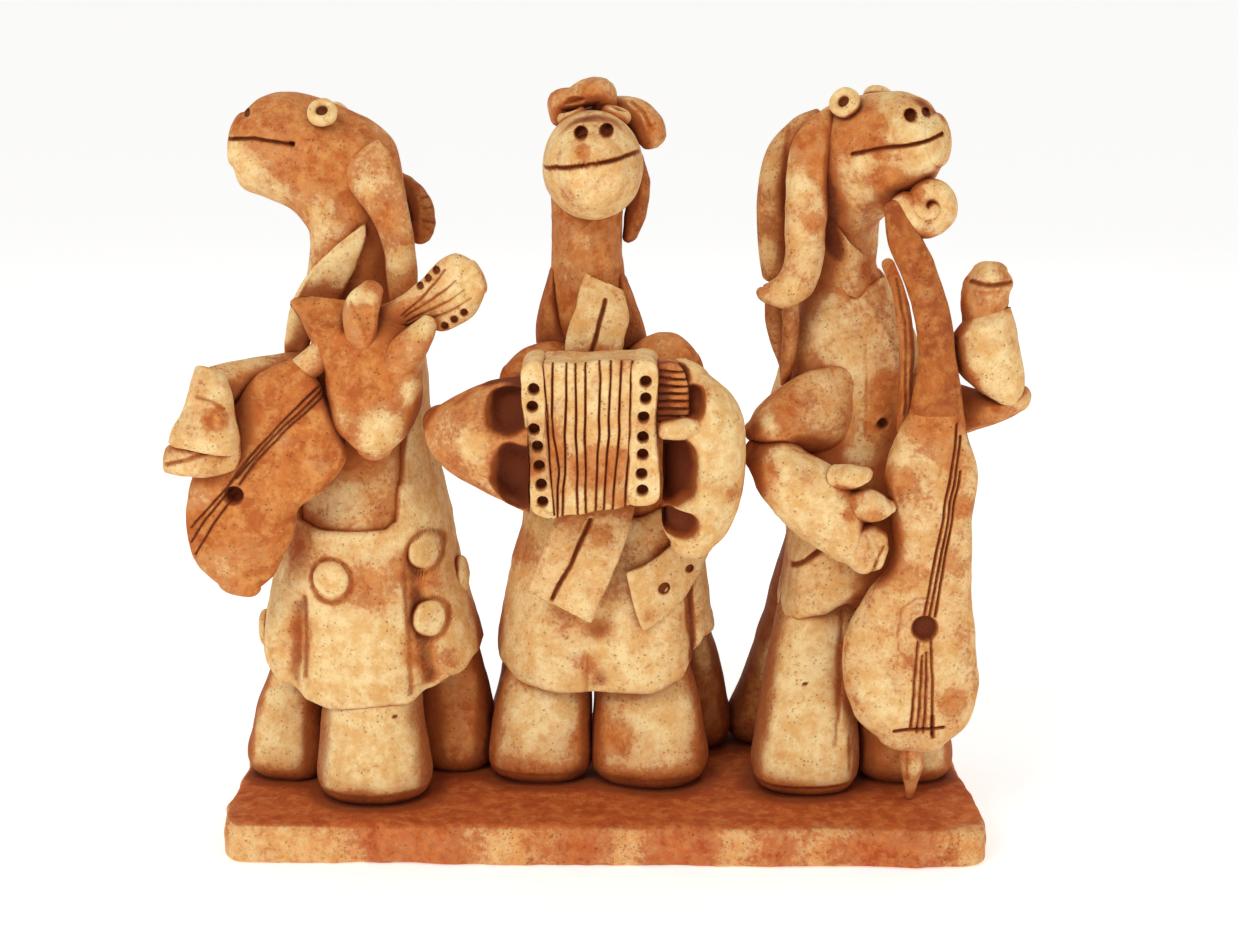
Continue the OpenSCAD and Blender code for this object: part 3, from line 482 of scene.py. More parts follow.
addSet([(addRoll,
         leg("bassPlayerBackLegs", "washed_clay", (43, 50, 64), (68, 73, 80), 33,
             14, -10, 92, patches=[(56, 50, 12, 0.7)])),
        (addRoll,
         leg("bassPlayerBackLegs", "washed_clay", (90, 91, 91), (115, 114, 110),
             33, 14, -10, 92))], name="bassPlayerBackLegs", slip=0.42)
print("legs shaped")


luteCoat = dict(
    rows=[[46, -119, -44, 0, 36], [58, -118, -43, 0, 36], [75, -116, -47, 0, 35], [94, -112, -51, 0, 33],
          [110, -108, -54, 0, 31], [130, -105, -58, 0, 27], [150, -102, -60, 0, 23], [168, -100, -62, 0, 19],
          [178, -99, -64, 0, 17], [186, -98, -65, 0, 15]],
)


# The body inside a coat: the coat's own rows, drawn in, and further where the coat hides it
def bodyRows(rows, inset, low, high, hidden):
    rows = np.asarray(rows, float)
    z = np.linspace(low, high, 12)
    r = spline(rows, np.interp(z, rows[:, 0], np.arange(len(rows))))
    under = inset + 4.5 * smooth((hidden - z) / 8)
    return [[a + u, h, b - u, h, y, d - u] for h, u, (_, a, b, y, d) in zip(z, under, r)]


addRoll(name="lutePlayerBody", slot="bare_clay",
        rows=bodyRows(luteCoat["rows"], 3.2, 62, 178, 104), ends=(0, 0.3), step=1.3, square=0.85, slip=0.58,
        patches=[(-90, 118, 12, 0.74), (-80, 128, 8, 0.4)], hollows=[(-108, 118, 7, 14, 1.5)])
# A closed path round a button: (x + wide cos a, z + high sin a)
def ringPath(x, z, wide, high):
    return [(x + wide * math.cos(a), z + high * math.sin(a)) for a in np.linspace(0, 2 * math.pi, 17)]


addCoat(name="lutePlayerCoat", slot="rubbed_slip", wall=4.2, rows=luteCoat["rows"],
        hem=[(0, 60), (60, 54), (120, 54), (180, 59), (205, 60.5), (228, 54.5), (246, 50.5), (262, 48.5),
             (288, 49.5), (305, 53.5), (320, 57.5), (340, 60.5)],
        top=[(0, 178), (90, 182), (150, 176), (188, 150), (205, 112), (222, 106), (250, 104.5), (285, 105),
             (294, 107), (303, 119), (317, 137), (331, 157), (344, 176)],
        folds=[(236, 9, 44, 80, -2.8), (270, 24, 44, 96, 1.6), (304, 8, 46, 96, -2.2),
               (214, 10, 44, 70, 1.4), (328, 12, 46, 90, 1.0)], slip=0.72,
        patches=[(-78, 88, 12, 0.42), (-66, 95, 7, 0.4), (-99, 72, 7, 0.45), (-84, 66, 17, 0.86),
                 (-62, 66, 6, 0.35), (-53, 60, 8, 0.5), (-100, 98, 8, 0.6), (-60, 110, 8, 0.8),
                 (-59, 88, 7, 0.4), (-58, 76, 8, 0.42), (-90, 91, 8.4, 0.5)],
        cuts=[([(-99.5, 58), (-98.5, 70), (-99, 84)], 1.5, 0.7),
              ([(-64, 52), (-64.5, 74), (-66, 92)], 1.2, 0.6),
              ([(-52, 108), (-51.5, 100), (-47, 94)], 0.9, 0.9), ([(-78, 86), (-77, 92)], 0.6, 0.3),
              ([(-74, 92), (-72.5, 83)], 0.6, 0.3), (ringPath(-89.6, 90.6, 7.0, 7.2), 1.2, 0.7),
              (ringPath(-59.4, 98.4, 5.6, 7.0), 1.2, 0.7), (ringPath(-57.6, 76, 5.8, 7.0), 1.2, 0.7)],
        lumps=((22, 0.8), (8, 0.4), (3.5, 0.16)))

addRoll(name="lutePlayerHead", slot="bare_clay", step=0.62, ends=(0.3, 0.1),
        rows=[[-119, 242, -123, 224, 0, 11.5], [-114, 246.5, -120.5, 217.5, 0, 14],
              [-107, 248.5, -113, 214, 0, 15], [-99, 248, -104.5, 210, 0, 16],
              [-89, 245, -99.5, 204, 0, 16.5], [-78, 240, -98.5, 199, 0, 16.5],
              [-69.5, 232, -99, 193.5, 0, 16], [-66, 216, -100, 188, 0, 16],
              [-65.5, 197, -101.5, 180, 0, 15.5], [-64, 180, -102, 171, 0, 15.5]], slip=0.35,
        patches=[(-118, 222, 11, 0.7), (-123, 231, 6, 0.78), (-119, 246, 5, 0.6), (-108, 216, 8, 0.62),
                 (-89, 205, 15, 0.66), (-96, 190, 10, 0.56), (-85, 192, 12, 0.45), (-72, 240, 9, 0.45),
                 (-78, 216, 6, 0.34)],
        cuts=[([(-124, 234), (-121, 234), (-113, 234.5), (-101, 233)], 0.75, 2.6)],
        hollows=[(-116, 236.5, 8, 2.4, 0.5), (-80, 214, 8, 12, 1.0)],
        ridges=[([(-93, 228), (-82, 234), (-70, 228)], 3.4, 1.2),
                ([(-121, 231.5), (-106, 231)], 1.6, 0.5)],
        holes=[(-101, 233, 1.0, 1.6), (-116.8, 242.3, 1.2, 2.4)], lumps=((20, 0.6), (7, 0.3), (3, 0.1)))
addRoll(name="lutePlayerNearEar", slot="rubbed_slip", step=0.62,
        ends=(0.6, 0.6),
        rows=[[-88, 223, -73, 234, -12.5, 2.6], [-81, 216, -67, 226.5, -15.2, 4],
              [-74.6, 207.5, -63.2, 213.5, -17.3, 4.8], [-71.4, 198, -61.4, 201.5, -18.4, 4.9],
              [-70.2, 188.5, -60.8, 190, -18.9, 4.8], [-69.6, 180, -60.8, 180.5, -19, 4.5],
              [-69.4, 172, -61.8, 172, -18, 3.6]], slip=0.5,
        patches=[(-78, 220, 5, 0.66), (-66, 196, 5, 0.72), (-64, 182, 5, 0.7), (-70, 210, 6, 0.3)],
        lumps=((16, 0.5), (6, 0.3)))
addTube(name="lutePlayerFarEar", slot="washed_clay", up=(0.3, 0, 1), step=0.62,
        rows=[[-80, 12, 219, 3.6, 4.6], [-73, 14.5, 217, 4.4, 5.4], [-66, 12.5, 212, 4.8, 6],
              [-62, 9, 206.4, 4.8, 5.6], [-62, 5, 202, 4, 4.6]], slip=0.35,
        cuts=[([(-62, 213), (-57, 214)], 0.7, 0.9), ([(-61, 209.5), (-56, 210)], 0.6, 0.9),
              ([(-61, 206), (-57, 205)], 0.6, 0.9)], lumps=((9, 0.5), (3, 0.35)))

# An eye: a pellet with a hole poked in it
eyeProfile = [(0, -0.8), (0.8, -0.9), (1.5, -0.5), (1.8, 0.9), (2.2, 1.9), (3.4, 2.4), (4.6, 1.7),
              (5.1, 0.4), (4.9, -1.4), (3.9, -2.2), (0, -2.4)]
addSet([(addTurned, dict(at=(-91, -14.2, 243), facing=(0, -0.8, 0.6))),
        (addTurned, dict(at=(-91, 13.8, 240), facing=(0, 0.86, 0.5)))],
       name="lutePlayerEyes", slot="rubbed_slip", profile=eyeProfile, pit=0.23, step=0.35, slip=0.86,
       lumps=((6, 0.35), (2.5, 0.12)))
addRoll(name="lutePlayerCollar", slot="rubbed_slip", step=0.6, ends=(0.3, 0.3),
        square=0.8,
        rows=[[-78, 207.5, -78, 202, -15.5, 2], [-85, 202, -82, 191, -17.2, 2.4],
              [-93, 195, -87.5, 181, -18, 2.6], [-98.5, 188, -93.5, 174, -17.5, 2.8],
              [-103, 179, -97.5, 166, -16, 3], [-105.5, 168, -97, 158, -15.5, 3.2],
              [-105, 156, -95, 150, -15, 3.2]], slip=0.78, patches=[(-101, 160, 9, 0.3)],
        ridges=[([(-79, 206.5), (-88, 199.5), (-96, 191.5), (-102, 180)], 1.1, 0.9)],
        lumps=((10, 0.4), (3, 0.15)))
addRoll(name="lutePlayerStrummingArm", slot="bare_clay",
        rows=[[-94, 165, -94, 146, -16, 9], [-104, 165, -106, 147, -22, 9],
              [-114, 164.5, -118, 149, -29, 8], [-124, 163, -127, 150, -38, 7]], slip=0.6, ends=(0.4, 0.4))
addSet([(addRoll,
         dict(rows=[[-129.5, 164, -118.5, 160.5, -46, 7], [-131, 158, -116.5, 155, -48.5, 6.6],
                    [-133, 152, -116, 149, -50, 6.8], [-135.8, 146.5, -115, 143, -50.5, 7.2],
                    [-137.5, 142, -115.5, 138.5, -50, 6.6]], ends=(0.35, 0.12),
              ridges=[([(-130, 164), (-119, 160.5)], 1.4, 0.8),
                      ([(-137, 142.5), (-126, 140), (-116, 139.5)], 1.3, 0.9)],
              cuts=[([(-127, 157), (-122, 155.5), (-119, 153)], 0.9, 0.6)],
              hollows=[(-127, 150, 7, 6, 0.9)], square=0.85)),
        (addRoll,
         dict(rows=[[-117, 142, -118.5, 131.5, -47, 5], [-127, 143, -128, 129.5, -48.5, 6],
                    [-137.5, 140, -139, 130.5, -47, 5]], ends=(0.5, 0.35),
              cuts=[([(-124, 140), (-131, 136.5), (-138, 134)], 0.9, 0.8)], slip=0.62))],
       name="lutePlayerStrummingHand", slot="rubbed_slip", step=0.6,
       slip=0.74, patches=[(-121, 150, 5, 0.35), (-128, 160, 5, 0.6)],
       lumps=((11, 0.7), (5, 0.35), (2.4, 0.15)))
addRoll(name="lutePlayerFrettingArm", slot="bare_clay", step=0.62,
        ends=(0.6, 0.12),
        rows=[[-80, 139, -68, 137, -35, 8], [-86.5, 144.5, -61.5, 143, -36, 11.5],
              [-88.5, 153, -58, 152, -36, 12], [-90, 162, -57.5, 161, -35, 11.5],
              [-93.5, 170, -57, 168, -33.5, 10.5], [-98, 178, -57.5, 173, -31, 9],
              [-101, 183, -61, 175, -28.5, 7.5]], slip=0.3,
        patches=[(-70, 143, 11, 0.82), (-60, 156, 6, 0.75), (-57, 166, 6, 0.72), (-92, 176, 5, 0.35),
                 (-84, 148, 6, 0.6)],
        ridges=[([(-101, 183.5), (-93, 178), (-84, 176)], 1.7, 2.4),
                ([(-60, 158), (-64, 150), (-72, 146)], 1.4, 0.9),
                ([(-57, 168), (-60, 160), (-60, 150)], 1.6, 0.8)],
        hollows=[(-78, 160, 10, 12, 1.0), (-64, 169, 3.5, 5, 1.5)], square=0.88,
        lumps=((15, 0.7), (6, 0.3), (3, 0.12)))
addSet([(addRoll,
         dict(rows=[[-82, 174, -72, 171, -40, 4.5], [-82.5, 182, -71, 177, -41.5, 5.5],
                    [-80.5, 187.5, -70.5, 182.5, -41, 5.5], [-76.5, 190.5, -69.5, 187.5, -39, 4.2]],
              ends=(0.7, 0.6), cuts=[([(-79, 186), (-76, 179), (-74, 174)], 0.8, 0.5)],
              hollows=[(-74, 181, 2.2, 5, 1.6)])),
        (addRoll,
         dict(rows=[[-70.5, 167, -61, 162, -41, 4.6], [-67, 173, -56.5, 167.5, -42, 5.6],
                    [-61, 177.5, -53.5, 173, -41, 5], [-57.5, 180, -52.5, 176.5, -39.5, 3.6]],
              ends=(0.7, 0.6), hollows=[(-64.5, 171, 3, 4, 1.2)],
              ridges=[([(-68, 174), (-61, 178)], 1.0, 0.8)]))],
       name="lutePlayerFrettingHand", slot="rubbed_slip", step=0.55, slip=0.36,
       patches=[(-79, 189, 5, 0.84), (-73, 187, 3, 0.7), (-57, 178, 5, 0.84), (-66, 172, 3, 0.3)],
       lumps=((8, 0.5), (3, 0.2)))

luteStrings = [[(-88.5, 159.5), (-96, 153), (-112.5, 136), (-120.5, 125.5), (-133, 111.5)],
               [(-88, 158), (-106, 141), (-117.5, 128.5)],
               [(-87.5, 156), (-98.5, 146.5), (-111, 134), (-116.5, 126.5)],
               [(-118.5, 122), (-125.5, 113), (-132, 102.5)], [(-120, 124), (-128, 114.5), (-133.5, 106.5)]]
addRoll(name="luteBody", slot="rubbed_slip", step=0.5, square=0.72, ends=(0.8, 0.6),
        rows=[[-126, 91.8, -112, 90, -39, 5.2], [-132.6, 98.4, -107, 94.4, -39, 6.8],
              [-135.6, 107, -104, 101.5, -39, 7.2], [-135.6, 117.5, -100.5, 109, -39, 7.2],
              [-132, 129, -99, 117, -39, 7.2], [-125, 141, -90, 124, -39, 7.2],
              [-117, 153, -83.5, 132, -38, 7], [-110, 161, -84, 141, -37, 6.5],
              [-101, 165, -90, 154, -36, 5]], slip=0.2,
        patches=[(-125, 96, 12, 0.5), (-113, 104, 9, 0.42), (-91, 134, 7, 0.44), (-130, 122, 7, 0.5),
                 (-118, 158, 8, 0.6), (-108, 126, 10, 0.3), (-104, 140, 6, 0.5), (-122, 140, 6, 0.6)],
        cuts=[(path, 0.52, 1.25) for path in luteStrings], holes=[(-118.6, 122.6, 2.9, 5.5)],
        hollows=[(-104, 128, 14, 14, 0.8)], lumps=((16, 0.7), (6, 0.3), (3, 0.12)))
addRoll(name="luteNeck", slot="rubbed_slip", step=0.42, square=0.75, ends=(0.4, 0.5),
        rows=[[-106, 161, -99, 154, -37, 3.6], [-84, 177, -78, 169, -35, 3.4],
              [-67, 184.5, -61, 176.5, -34, 3.8], [-59, 190, -51.5, 174.5, -33, 4],
              [-53, 196, -45.2, 177, -33, 4], [-47, 199.5, -40, 181, -33, 4],
              [-41.5, 197.5, -37.5, 187, -33, 3.6]], slip=0.62,
        patches=[(-44, 189, 7, 0.9), (-60, 182, 6, 0.35)],
        cuts=[([(-64, 180), (-56, 187), (-50, 195)], 0.45, 0.8),
              ([(-63, 179.5), (-54, 185), (-46.5, 191.5)], 0.45, 0.8),
              ([(-62, 178), (-53, 182.5), (-43.5, 188.5)], 0.42, 0.7),
              ([(-60, 176.5), (-50, 181), (-41.5, 185.5)], 0.42, 0.7)],
        holes=[(-58, 189.5, 1.15, 1.8), (-55.4, 192, 1.15, 1.8), (-52.7, 194.6, 1.15, 1.8),
               (-50.4, 176.8, 1.15, 1.8), (-47.2, 179, 1.15, 1.8), (-44, 181.2, 1.15, 1.8)],
        lumps=((9, 0.4), (3, 0.12)))

# Buttons: pellets pressed flat on the coat
buttonProfile = [(0, 1.7), (3.4, 1.65), (5.2, 1.3), (6.2, 0.4), (6.5, -0.8), (6.2, -2.0), (5, -2.3),
                 (0, -2.3)]
addSet([(addTurned, dict(at=(-90, -33.2, 91), facing=(-0.28, -0.95, 0.06))),
        (addTurned, dict(at=(-60, -23.6, 98.5), facing=(0.7, -0.7, 0.1))),
        (addTurned, dict(at=(-58, -27.6, 76), facing=(0.62, -0.78, 0.06))),
        (addTurned, dict(at=(-48.6, -3, 85), facing=(0.99, -0.1, 0.08))),
        (addTurned, dict(at=(-118, -3, 65), facing=(-0.99, -0.1, 0.02)))],
       name="lutePlayerButtons", slot="rubbed_slip", profile=buttonProfile, step=0.4, slip=0.8, rim=0.5,
       lumps=((6, 0.4), (2.2, 0.14)))
print("lute player shaped")


accordionCoat = dict(rows=[[46, -38, 39, 8, 34], [57, -38, 39, 8, 34], [70, -36, 37, 8, 33],
                           [88, -32, 34, 8, 31], [102, -28, 32, 8, 29], [122, -27, 29, 8, 27],
                           [142, -26, 26, 8, 24], [157, -23, 18, 7, 20], [168, -19, 10, 6, 15],
                           [174, -18, 9, 6, 14]])
addRoll(name="accordionPlayerBody", slot="bare_clay", ends=(0, 0.3), step=1.3,
        square=0.85, rows=bodyRows(accordionCoat["rows"], 2.8, 62, 166, 106), slip=0.3)
addCoat(name="accordionPlayerCoat", slot="rubbed_slip", wall=4.2, crease=0.7,
        rows=accordionCoat["rows"],
        hem=[(0, 66), (90, 60), (180, 58.5), (205, 56), (228, 52), (256, 50.6), (270, 51.2), (288, 51.4),
             (305, 54.5), (317, 59), (326, 63), (334, 66)],
        top=[(0, 150), (90, 172), (180, 146), (200, 112), (214, 107), (240, 107.5), (262, 106), (285, 107),
             (305, 109.5), (322, 112), (345, 140)],
        folds=[(268, 5, 44, 74, -1.8), (240, 16, 44, 90, 1.1), (298, 16, 44, 90, 2.2),
               (322, 5, 44, 108, -1.8), (345, 12, 52, 80, 0.8)], slip=0.7,
        patches=[(-30, 96, 9, 0.4), (-12, 74, 9, 0.5), (-5, 60, 6, 0.45), (8, 62, 13, 0.84),
                 (-22, 62, 12, 0.74), (3, 84, 7, 0.6), (16, 102, 8, 0.62), (27, 72, 6, 0.5)],
        cuts=[([(-5.5, 48), (-5, 62)], 1.1, 0.5), ([(30.5, 57), (29.5, 74), (29, 88)], 1.2, 1.1),
              ([(14, 58), (16, 60)], 0.6, 0.5)], lumps=((22, 0.8), (8, 0.4), (3.2, 0.2)))
addRoll(name="accordionPlayerHead", slot="rubbed_slip", step=0.62,
        ends=(0.1, 0.5),
        rows=[[-19.5, 162, 10, 162, 5, 14], [-19, 174, 8, 174, 5, 13.5], [-18.5, 187, 6.5, 187, 4.5, 13],
              [-18, 200, 6, 200, 4, 13], [-18, 212, 6.5, 212, 3.5, 14], [-17.5, 226, 9, 226, 1, 15.5],
              [-13, 238, 7, 238, 1, 12.5]], slip=0.42,
        patches=[(-6, 205, 8, 0.56), (-14, 178, 8, 0.34), (2, 195, 6, 0.35), (-10, 190, 7, 0.5)],
        ridges=[([(2, 212), (-4, 206), (-4, 198), (4, 192)], 1.6, 0.6)], hollows=[(-1, 200, 4, 9, 0.9)],
        lumps=((16, 0.6), (7, 0.4), (3, 0.15)))
head = pieces.pop()
addTube(name="accordionPlayerHead", slot="rubbed_slip", step=0.55,
        up=(0, 0, 1), ends=(0.15, 0.5),
        rows=[[-5, 4, 225.5, 12, 12], [-4, -8, 226, 15.4, 16.8], [-3, -20, 226.5, 16, 17.6],
              [-2.5, -31, 226.2, 14.2, 15.4], [-2.5, -36, 226, 11, 12]], slip=0.68,
        patches=[(-5.5, 232.4, 3, 0.3), (-11, 219, 4, 0.5), (8, 218, 6, 0.7), (-1, 214, 5, 0.75)],
        cuts=[([(-18.5, 226.5), (-8, 228.2), (2, 229.8), (13.6, 232)], 0.85, 2.6)],
        ridges=[([(-17, 228.3), (-3, 230.6), (12, 233.4)], 1.5, 0.35),
                ([(-13, 221), (-9, 219)], 1.0, 0.4)], holes=[(-6.2, 238, 2.0, 4.5), (1.7, 238.7, 2.0, 4.5)],
        lumps=((18, 0.5), (7, 0.25), (3, 0.08)))
pieces[-1]["grids"] = head["grids"] + pieces[-1]["grids"]
addTube(name="accordionPlayerHairCurl", slot="rubbed_slip", step=0.5,
        up=(0, 1, 0), ends=(0.6, 0.7),
        rows=[[-14, -6, 241, 3.6, 5], [-14, -8, 246, 3.8, 5], [-9.5, -9, 247.2, 3.6, 5],
              [-5, -8.6, 249, 4.4, 5.4], [-0.5, -8, 249.2, 4.6, 5.4], [0.5, -6, 245, 4.2, 5]], slip=0.5,
        patches=[(-4, 250, 4, 0.3)], hollows=[(-9, 247, 3, 1.2, 1.2)],
        cuts=[([(-12, 246.2), (-6.5, 247.4)], 0.7, 0.9)], lumps=((8, 0.4), (3, 0.15)))
addRoll(name="accordionPlayerRightEar", slot="rubbed_slip", step=0.55,
        ends=(0.5, 0.7), square=0.9,
        rows=[[0, 247.5, -1, 240, 2, 5], [8, 247.4, 4.5, 238.5, 0, 5.6], [14, 245.6, 8.5, 236.5, -2, 5.8],
              [19.2, 241, 10.6, 233.5, -3.5, 5.2], [20.6, 236, 12.6, 231.4, -4, 4.2]], slip=0.6,
        patches=[(17, 238, 4, 0.4)], cuts=[([(9, 246), (13, 242.6), (15, 238)], 0.9, 0.6)],
        ridges=[([(13, 244), (17, 239)], 1.6, 0.5)], lumps=((9, 0.5), (3, 0.15)))
addRoll(name="accordionPlayerLeftEar", slot="washed_clay", step=0.6,
        ends=(0.5, 0.7),
        rows=[[6, 227, 13, 227, 8, 4], [8, 217, 15.4, 218, 8, 4.6], [6.6, 208, 14.2, 208, 7, 4.6],
              [6, 201, 11.5, 201, 6, 4.2]], slip=0.3, ridges=[([(13, 222), (12, 208)], 1.2, 0.6)],
        lumps=((9, 0.4), (3, 0.15)))
addSet([(addTurned, dict(at=(-9.8, -12.6, 241.8), facing=(-0.34, -0.14, 0.93))),
        (addTurned, dict(at=(4.2, -12.6, 242.2), facing=(0.32, -0.1, 0.94)))],
       name="accordionPlayerEyes", slot="rubbed_slip", profile=eyeProfile, pit=0.23, step=0.38, slip=0.66,
       lumps=((6, 0.3), (2.5, 0.12)))
addSet([(addRoll,
         dict(rows=[[-19, 188, -15.5, 188, 6, 8], [-21, 180, -15, 180, 5, 9], [-23, 172, -13, 171, 3, 10],
                    [-23, 165, -8, 163, 2, 10]])),
        (addRoll,
         dict(rows=[[4, 186, 8, 185, 5, 8], [4, 180, 10.5, 178, 4, 9], [2, 172, 13, 171.5, 3, 10],
                    [0, 163, 14.5, 165, 2, 10]]))], name="accordionPlayerCollar",
       slot="washed_clay", slip=0.34, ends=(0.4, 0.2))
tieCut = [([(0.6, 182), (-1.6, 172), (-4.4, 163)], 0.95, 1.8),
          ([(-4, 111), (-10, 97), (-16.6, 85)], 0.95, 1.8)]
addRoll(name="accordionPlayerTie", slot="rubbed_slip", step=0.5, square=0.5,
        ends=(0.35, 0.35),
        rows=[[-6.2, 190, 6.6, 184.4, -12, 1.5], [-9, 180.5, 8.6, 176.4, -16.5, 1.8],
              [-12, 168, 6.6, 166, -20, 2], [-13, 142, 8, 142, -22, 2], [-13, 122, 11, 122, -25, 2],
              [-16.5, 108, 9.6, 110, -28, 2.1], [-21, 97, 3.6, 92.6, -30.5, 2.1],
              [-24.6, 87.4, -3.6, 76.6, -32, 1.7]], slip=0.66,
        patches=[(-2, 165, 4, 0.3), (0, 106, 5, 0.4), (-8, 84, 6, 0.78), (3, 176, 4, 0.75)], cuts=tieCut,
        lumps=((9, 0.4), (3, 0.2), (1.4, 0.1)))
addPlate(name="accordionPlayerPocketFlap", slot="rubbed_slip",
         front=-3, back=0.4, step=0.42, edge=1.0, corner=0.8,
         outline=[(7.6, 92.4), (14, 94), (20, 97.4), (25.4, 101.4), (30, 105), (35, 108), (37, 102),
                  (37.6, 96.5), (33, 88.5), (28, 81), (21, 75.6), (13.4, 71.6), (10.4, 81)], slip=0.74,
         patches=[(16, 77, 3, 0.5)],
         holes=[(20.6, 85.6, 1.9, 1.5), (29, 90.4, 1.3, 1.5), (33, 94.6, 1.4, 1.5)],
         lumps=((10, 0.2), (3, 0.15)))
# the flap is bent round the coat
flap = pieces[-1]["grids"][0][0]
flap[..., 1] += -25.6 + 0.020 * np.clip(flap[..., 0] - 4, 0, 99) ** 2 + 0.10 * (flap[..., 2] - 84)
addSet([(addRoll,
         dict(rows=[[-8, 163, -8, 154, -4, 7], [-16, 167.5, -16, 150, -10, 8.5],
                    [-25, 166, -25, 148, -15, 8.5], [-31, 161, -30, 147, -18, 7]])),
        (addRoll,
         dict(rows=[[8, 163, 8, 154, -4, 7], [15, 169.4, 15, 150, -10, 8.5], [23, 171, 23, 149, -14, 8.5],
                    [29, 166, 29, 147, -18, 7]]))],
       name="accordionPlayerShoulders", slot="bare_clay", slip=0.28, patches=[(20, 168, 5, 0.45)])
addRoll(name="accordionPlayerLeftSleeve", slot="rubbed_slip",
        step=0.62, ends=(0.55, 0.02),
        rows=[[-51, 150, -52, 138, -34, 9], [-47.5, 154, -49.5, 130, -36, 12],
              [-40, 158, -42, 125, -38, 14], [-32, 160.5, -33, 121, -39, 14.6],
              [-23, 161.5, -23.5, 116, -39, 14.6]], slip=0.5,
        patches=[(-44, 152, 5, 0.4), (-49, 134, 6, 0.36), (-34, 146, 5, 0.42), (-41, 141, 7, 0.64)],
        hollows=[(-29, 151.5, 7.2, 7.6, 9), (-26.5, 131, 8, 11, 10)],
        ridges=[([(-35, 143.8), (-24, 142.6)], 1.8, 0.8), ([(-36.6, 155), (-37.4, 147)], 1.4, 0.8)],
        cuts=[([(-38, 158.6), (-47, 153)], 0.8, 0.4)], lumps=((16, 0.8), (7, 0.35), (3, 0.12)))
addRoll(name="accordionPlayerRightSleeve", slot="rubbed_slip",
        step=0.62, ends=(0.5, 0.35),
        rows=[[23, 163.5, 35, 161.5, -36, 9], [22, 157, 42, 155, -37, 12], [20.4, 147, 46, 146, -38, 14],
              [20, 134, 47, 133, -38, 14.4], [20, 122, 45.4, 121, -38, 14], [20, 112, 41.5, 110.5, -38, 13],
              [22.5, 106.5, 36.5, 104.5, -38, 11.5]], slip=0.78,
        patches=[(31, 158, 5, 0.5), (40, 150, 5, 0.8), (36, 128, 6, 0.66), (43, 124, 5, 0.5),
                 (28, 106, 5, 0.72), (30, 150, 4, 0.4)],
        hollows=[(22.8, 131.5, 9, 12, 9), (29.6, 154.4, 4.2, 6, 5.5), (24.6, 114.8, 7.6, 5, 7.5)],
        ridges=[([(20, 120.6), (27, 119.8), (33.5, 119.4)], 1.0, 1.4),
                ([(20, 144.6), (28, 144), (33, 140), (33.4, 130)], 1.6, 0.9)],
        lumps=((16, 0.8), (7, 0.35), (3, 0.12)))
addSet([(addRoll,
         dict(rows=[[-40, 146.4, -40, 140, -40, 5], [-33, 146.6, -33, 139, -42.4, 5],
                    [-26, 146.4, -26, 138.4, -41, 4.6]], slip=0.66)),
        (addRoll,
         dict(rows=[[20, 149, 20, 142.6, -50, 3.4], [26, 150, 26, 142.6, -50.4, 3.8],
                    [32, 149, 32, 143, -48, 3]], slip=0.7))],
       name="accordionPlayerHands", slot="rubbed_slip", step=0.5, lumps=((8, 0.4), (3, 0.15)))

accordion = dict(
    front=-51.2, back=-30, step=0.36,
    # each fold line from the top edge to the bottom edge
    folds=[[(-18.6, 168), (-16.8, 150), (-16.4, 134), (-14.6, 118)],
           [(-15, 168), (-15.4, 150), (-13.4, 133), (-13.6, 116)],
           [(-10.6, 168), (-11, 145), (-12, 117)], [(-7.6, 168), (-7.6, 143), (-7.2, 117)],
           [(-4.4, 168), (-4.8, 143), (-4.6, 117)], [(0, 168), (-0.4, 146), (-1.6, 118)],
           [(3.4, 168), (2.6, 144), (1, 118)], [(6.6, 168.6), (6, 146), (4, 119)],
           [(10, 168.6), (9.4, 146), (8, 119)]],
    holesLeft=[(-21, 159), (-21.5, 153.4), (-21, 146), (-20, 140.4), (-19.5, 134), (-18.8, 128),
               (-18.4, 122.4)],
    holesRight=[(14.5, 161.6), (14.4, 156.2), (13.8, 150), (13.6, 143.6), (13.5, 138), (13.2, 131.6),
                (13.5, 126.2)],
)
# crease scales the dark wash and painted shade these pieces take in creases and between pieces
share = dict(slot="rubbed_slip", step=accordion["step"], edge=1.6, lumps=((14, 0.5), (5, 0.22), (2, 0.1)),
             crease=0.3)
addPlate(name="accordionBellows", front=accordion["front"],
         back=accordion["back"], corner=0.7,
         outline=[(-18.2, 167.2), (-12, 167.6), (-6, 167.2), (0, 168), (6, 168), (11.4, 168.2), (11, 156),
                  (10.4, 140), (10.6, 121.4), (5, 119.6), (-1, 119), (-6, 117.6), (-11, 117.6),
                  (-15.6, 116.2), (-16.2, 134), (-17, 150)], slip=0.66,
         patches=[(-14, 140, 4, 0.4), (2, 134, 9, 0.3), (-4, 132, 7, 0.42), (-10, 160, 6, 0.8),
                  (4, 158, 7, 0.84), (-8, 122, 6, 0.74), (6, 124, 5, 0.4)],
         cuts=[(path, 0.42, 1.5) for path in accordion["folds"]], **share)
addPlate(name="accordionLeftPanel", front=accordion["front"] - 0.5,
         back=accordion["back"] + 0.4, corner=2.0,
         outline=[(-25.4, 166), (-23, 168), (-18, 168), (-17.4, 155), (-16.6, 144), (-15.8, 130),
                  (-14.4, 116), (-17.8, 116.4), (-22.4, 118.8), (-22.8, 133), (-24, 146), (-25.2, 155)],
         slip=0.78, patches=[(-21, 134, 4, 0.55)],
         holes=[(x, z, 1.75, 4.5) for x, z in accordion["holesLeft"]], **share)
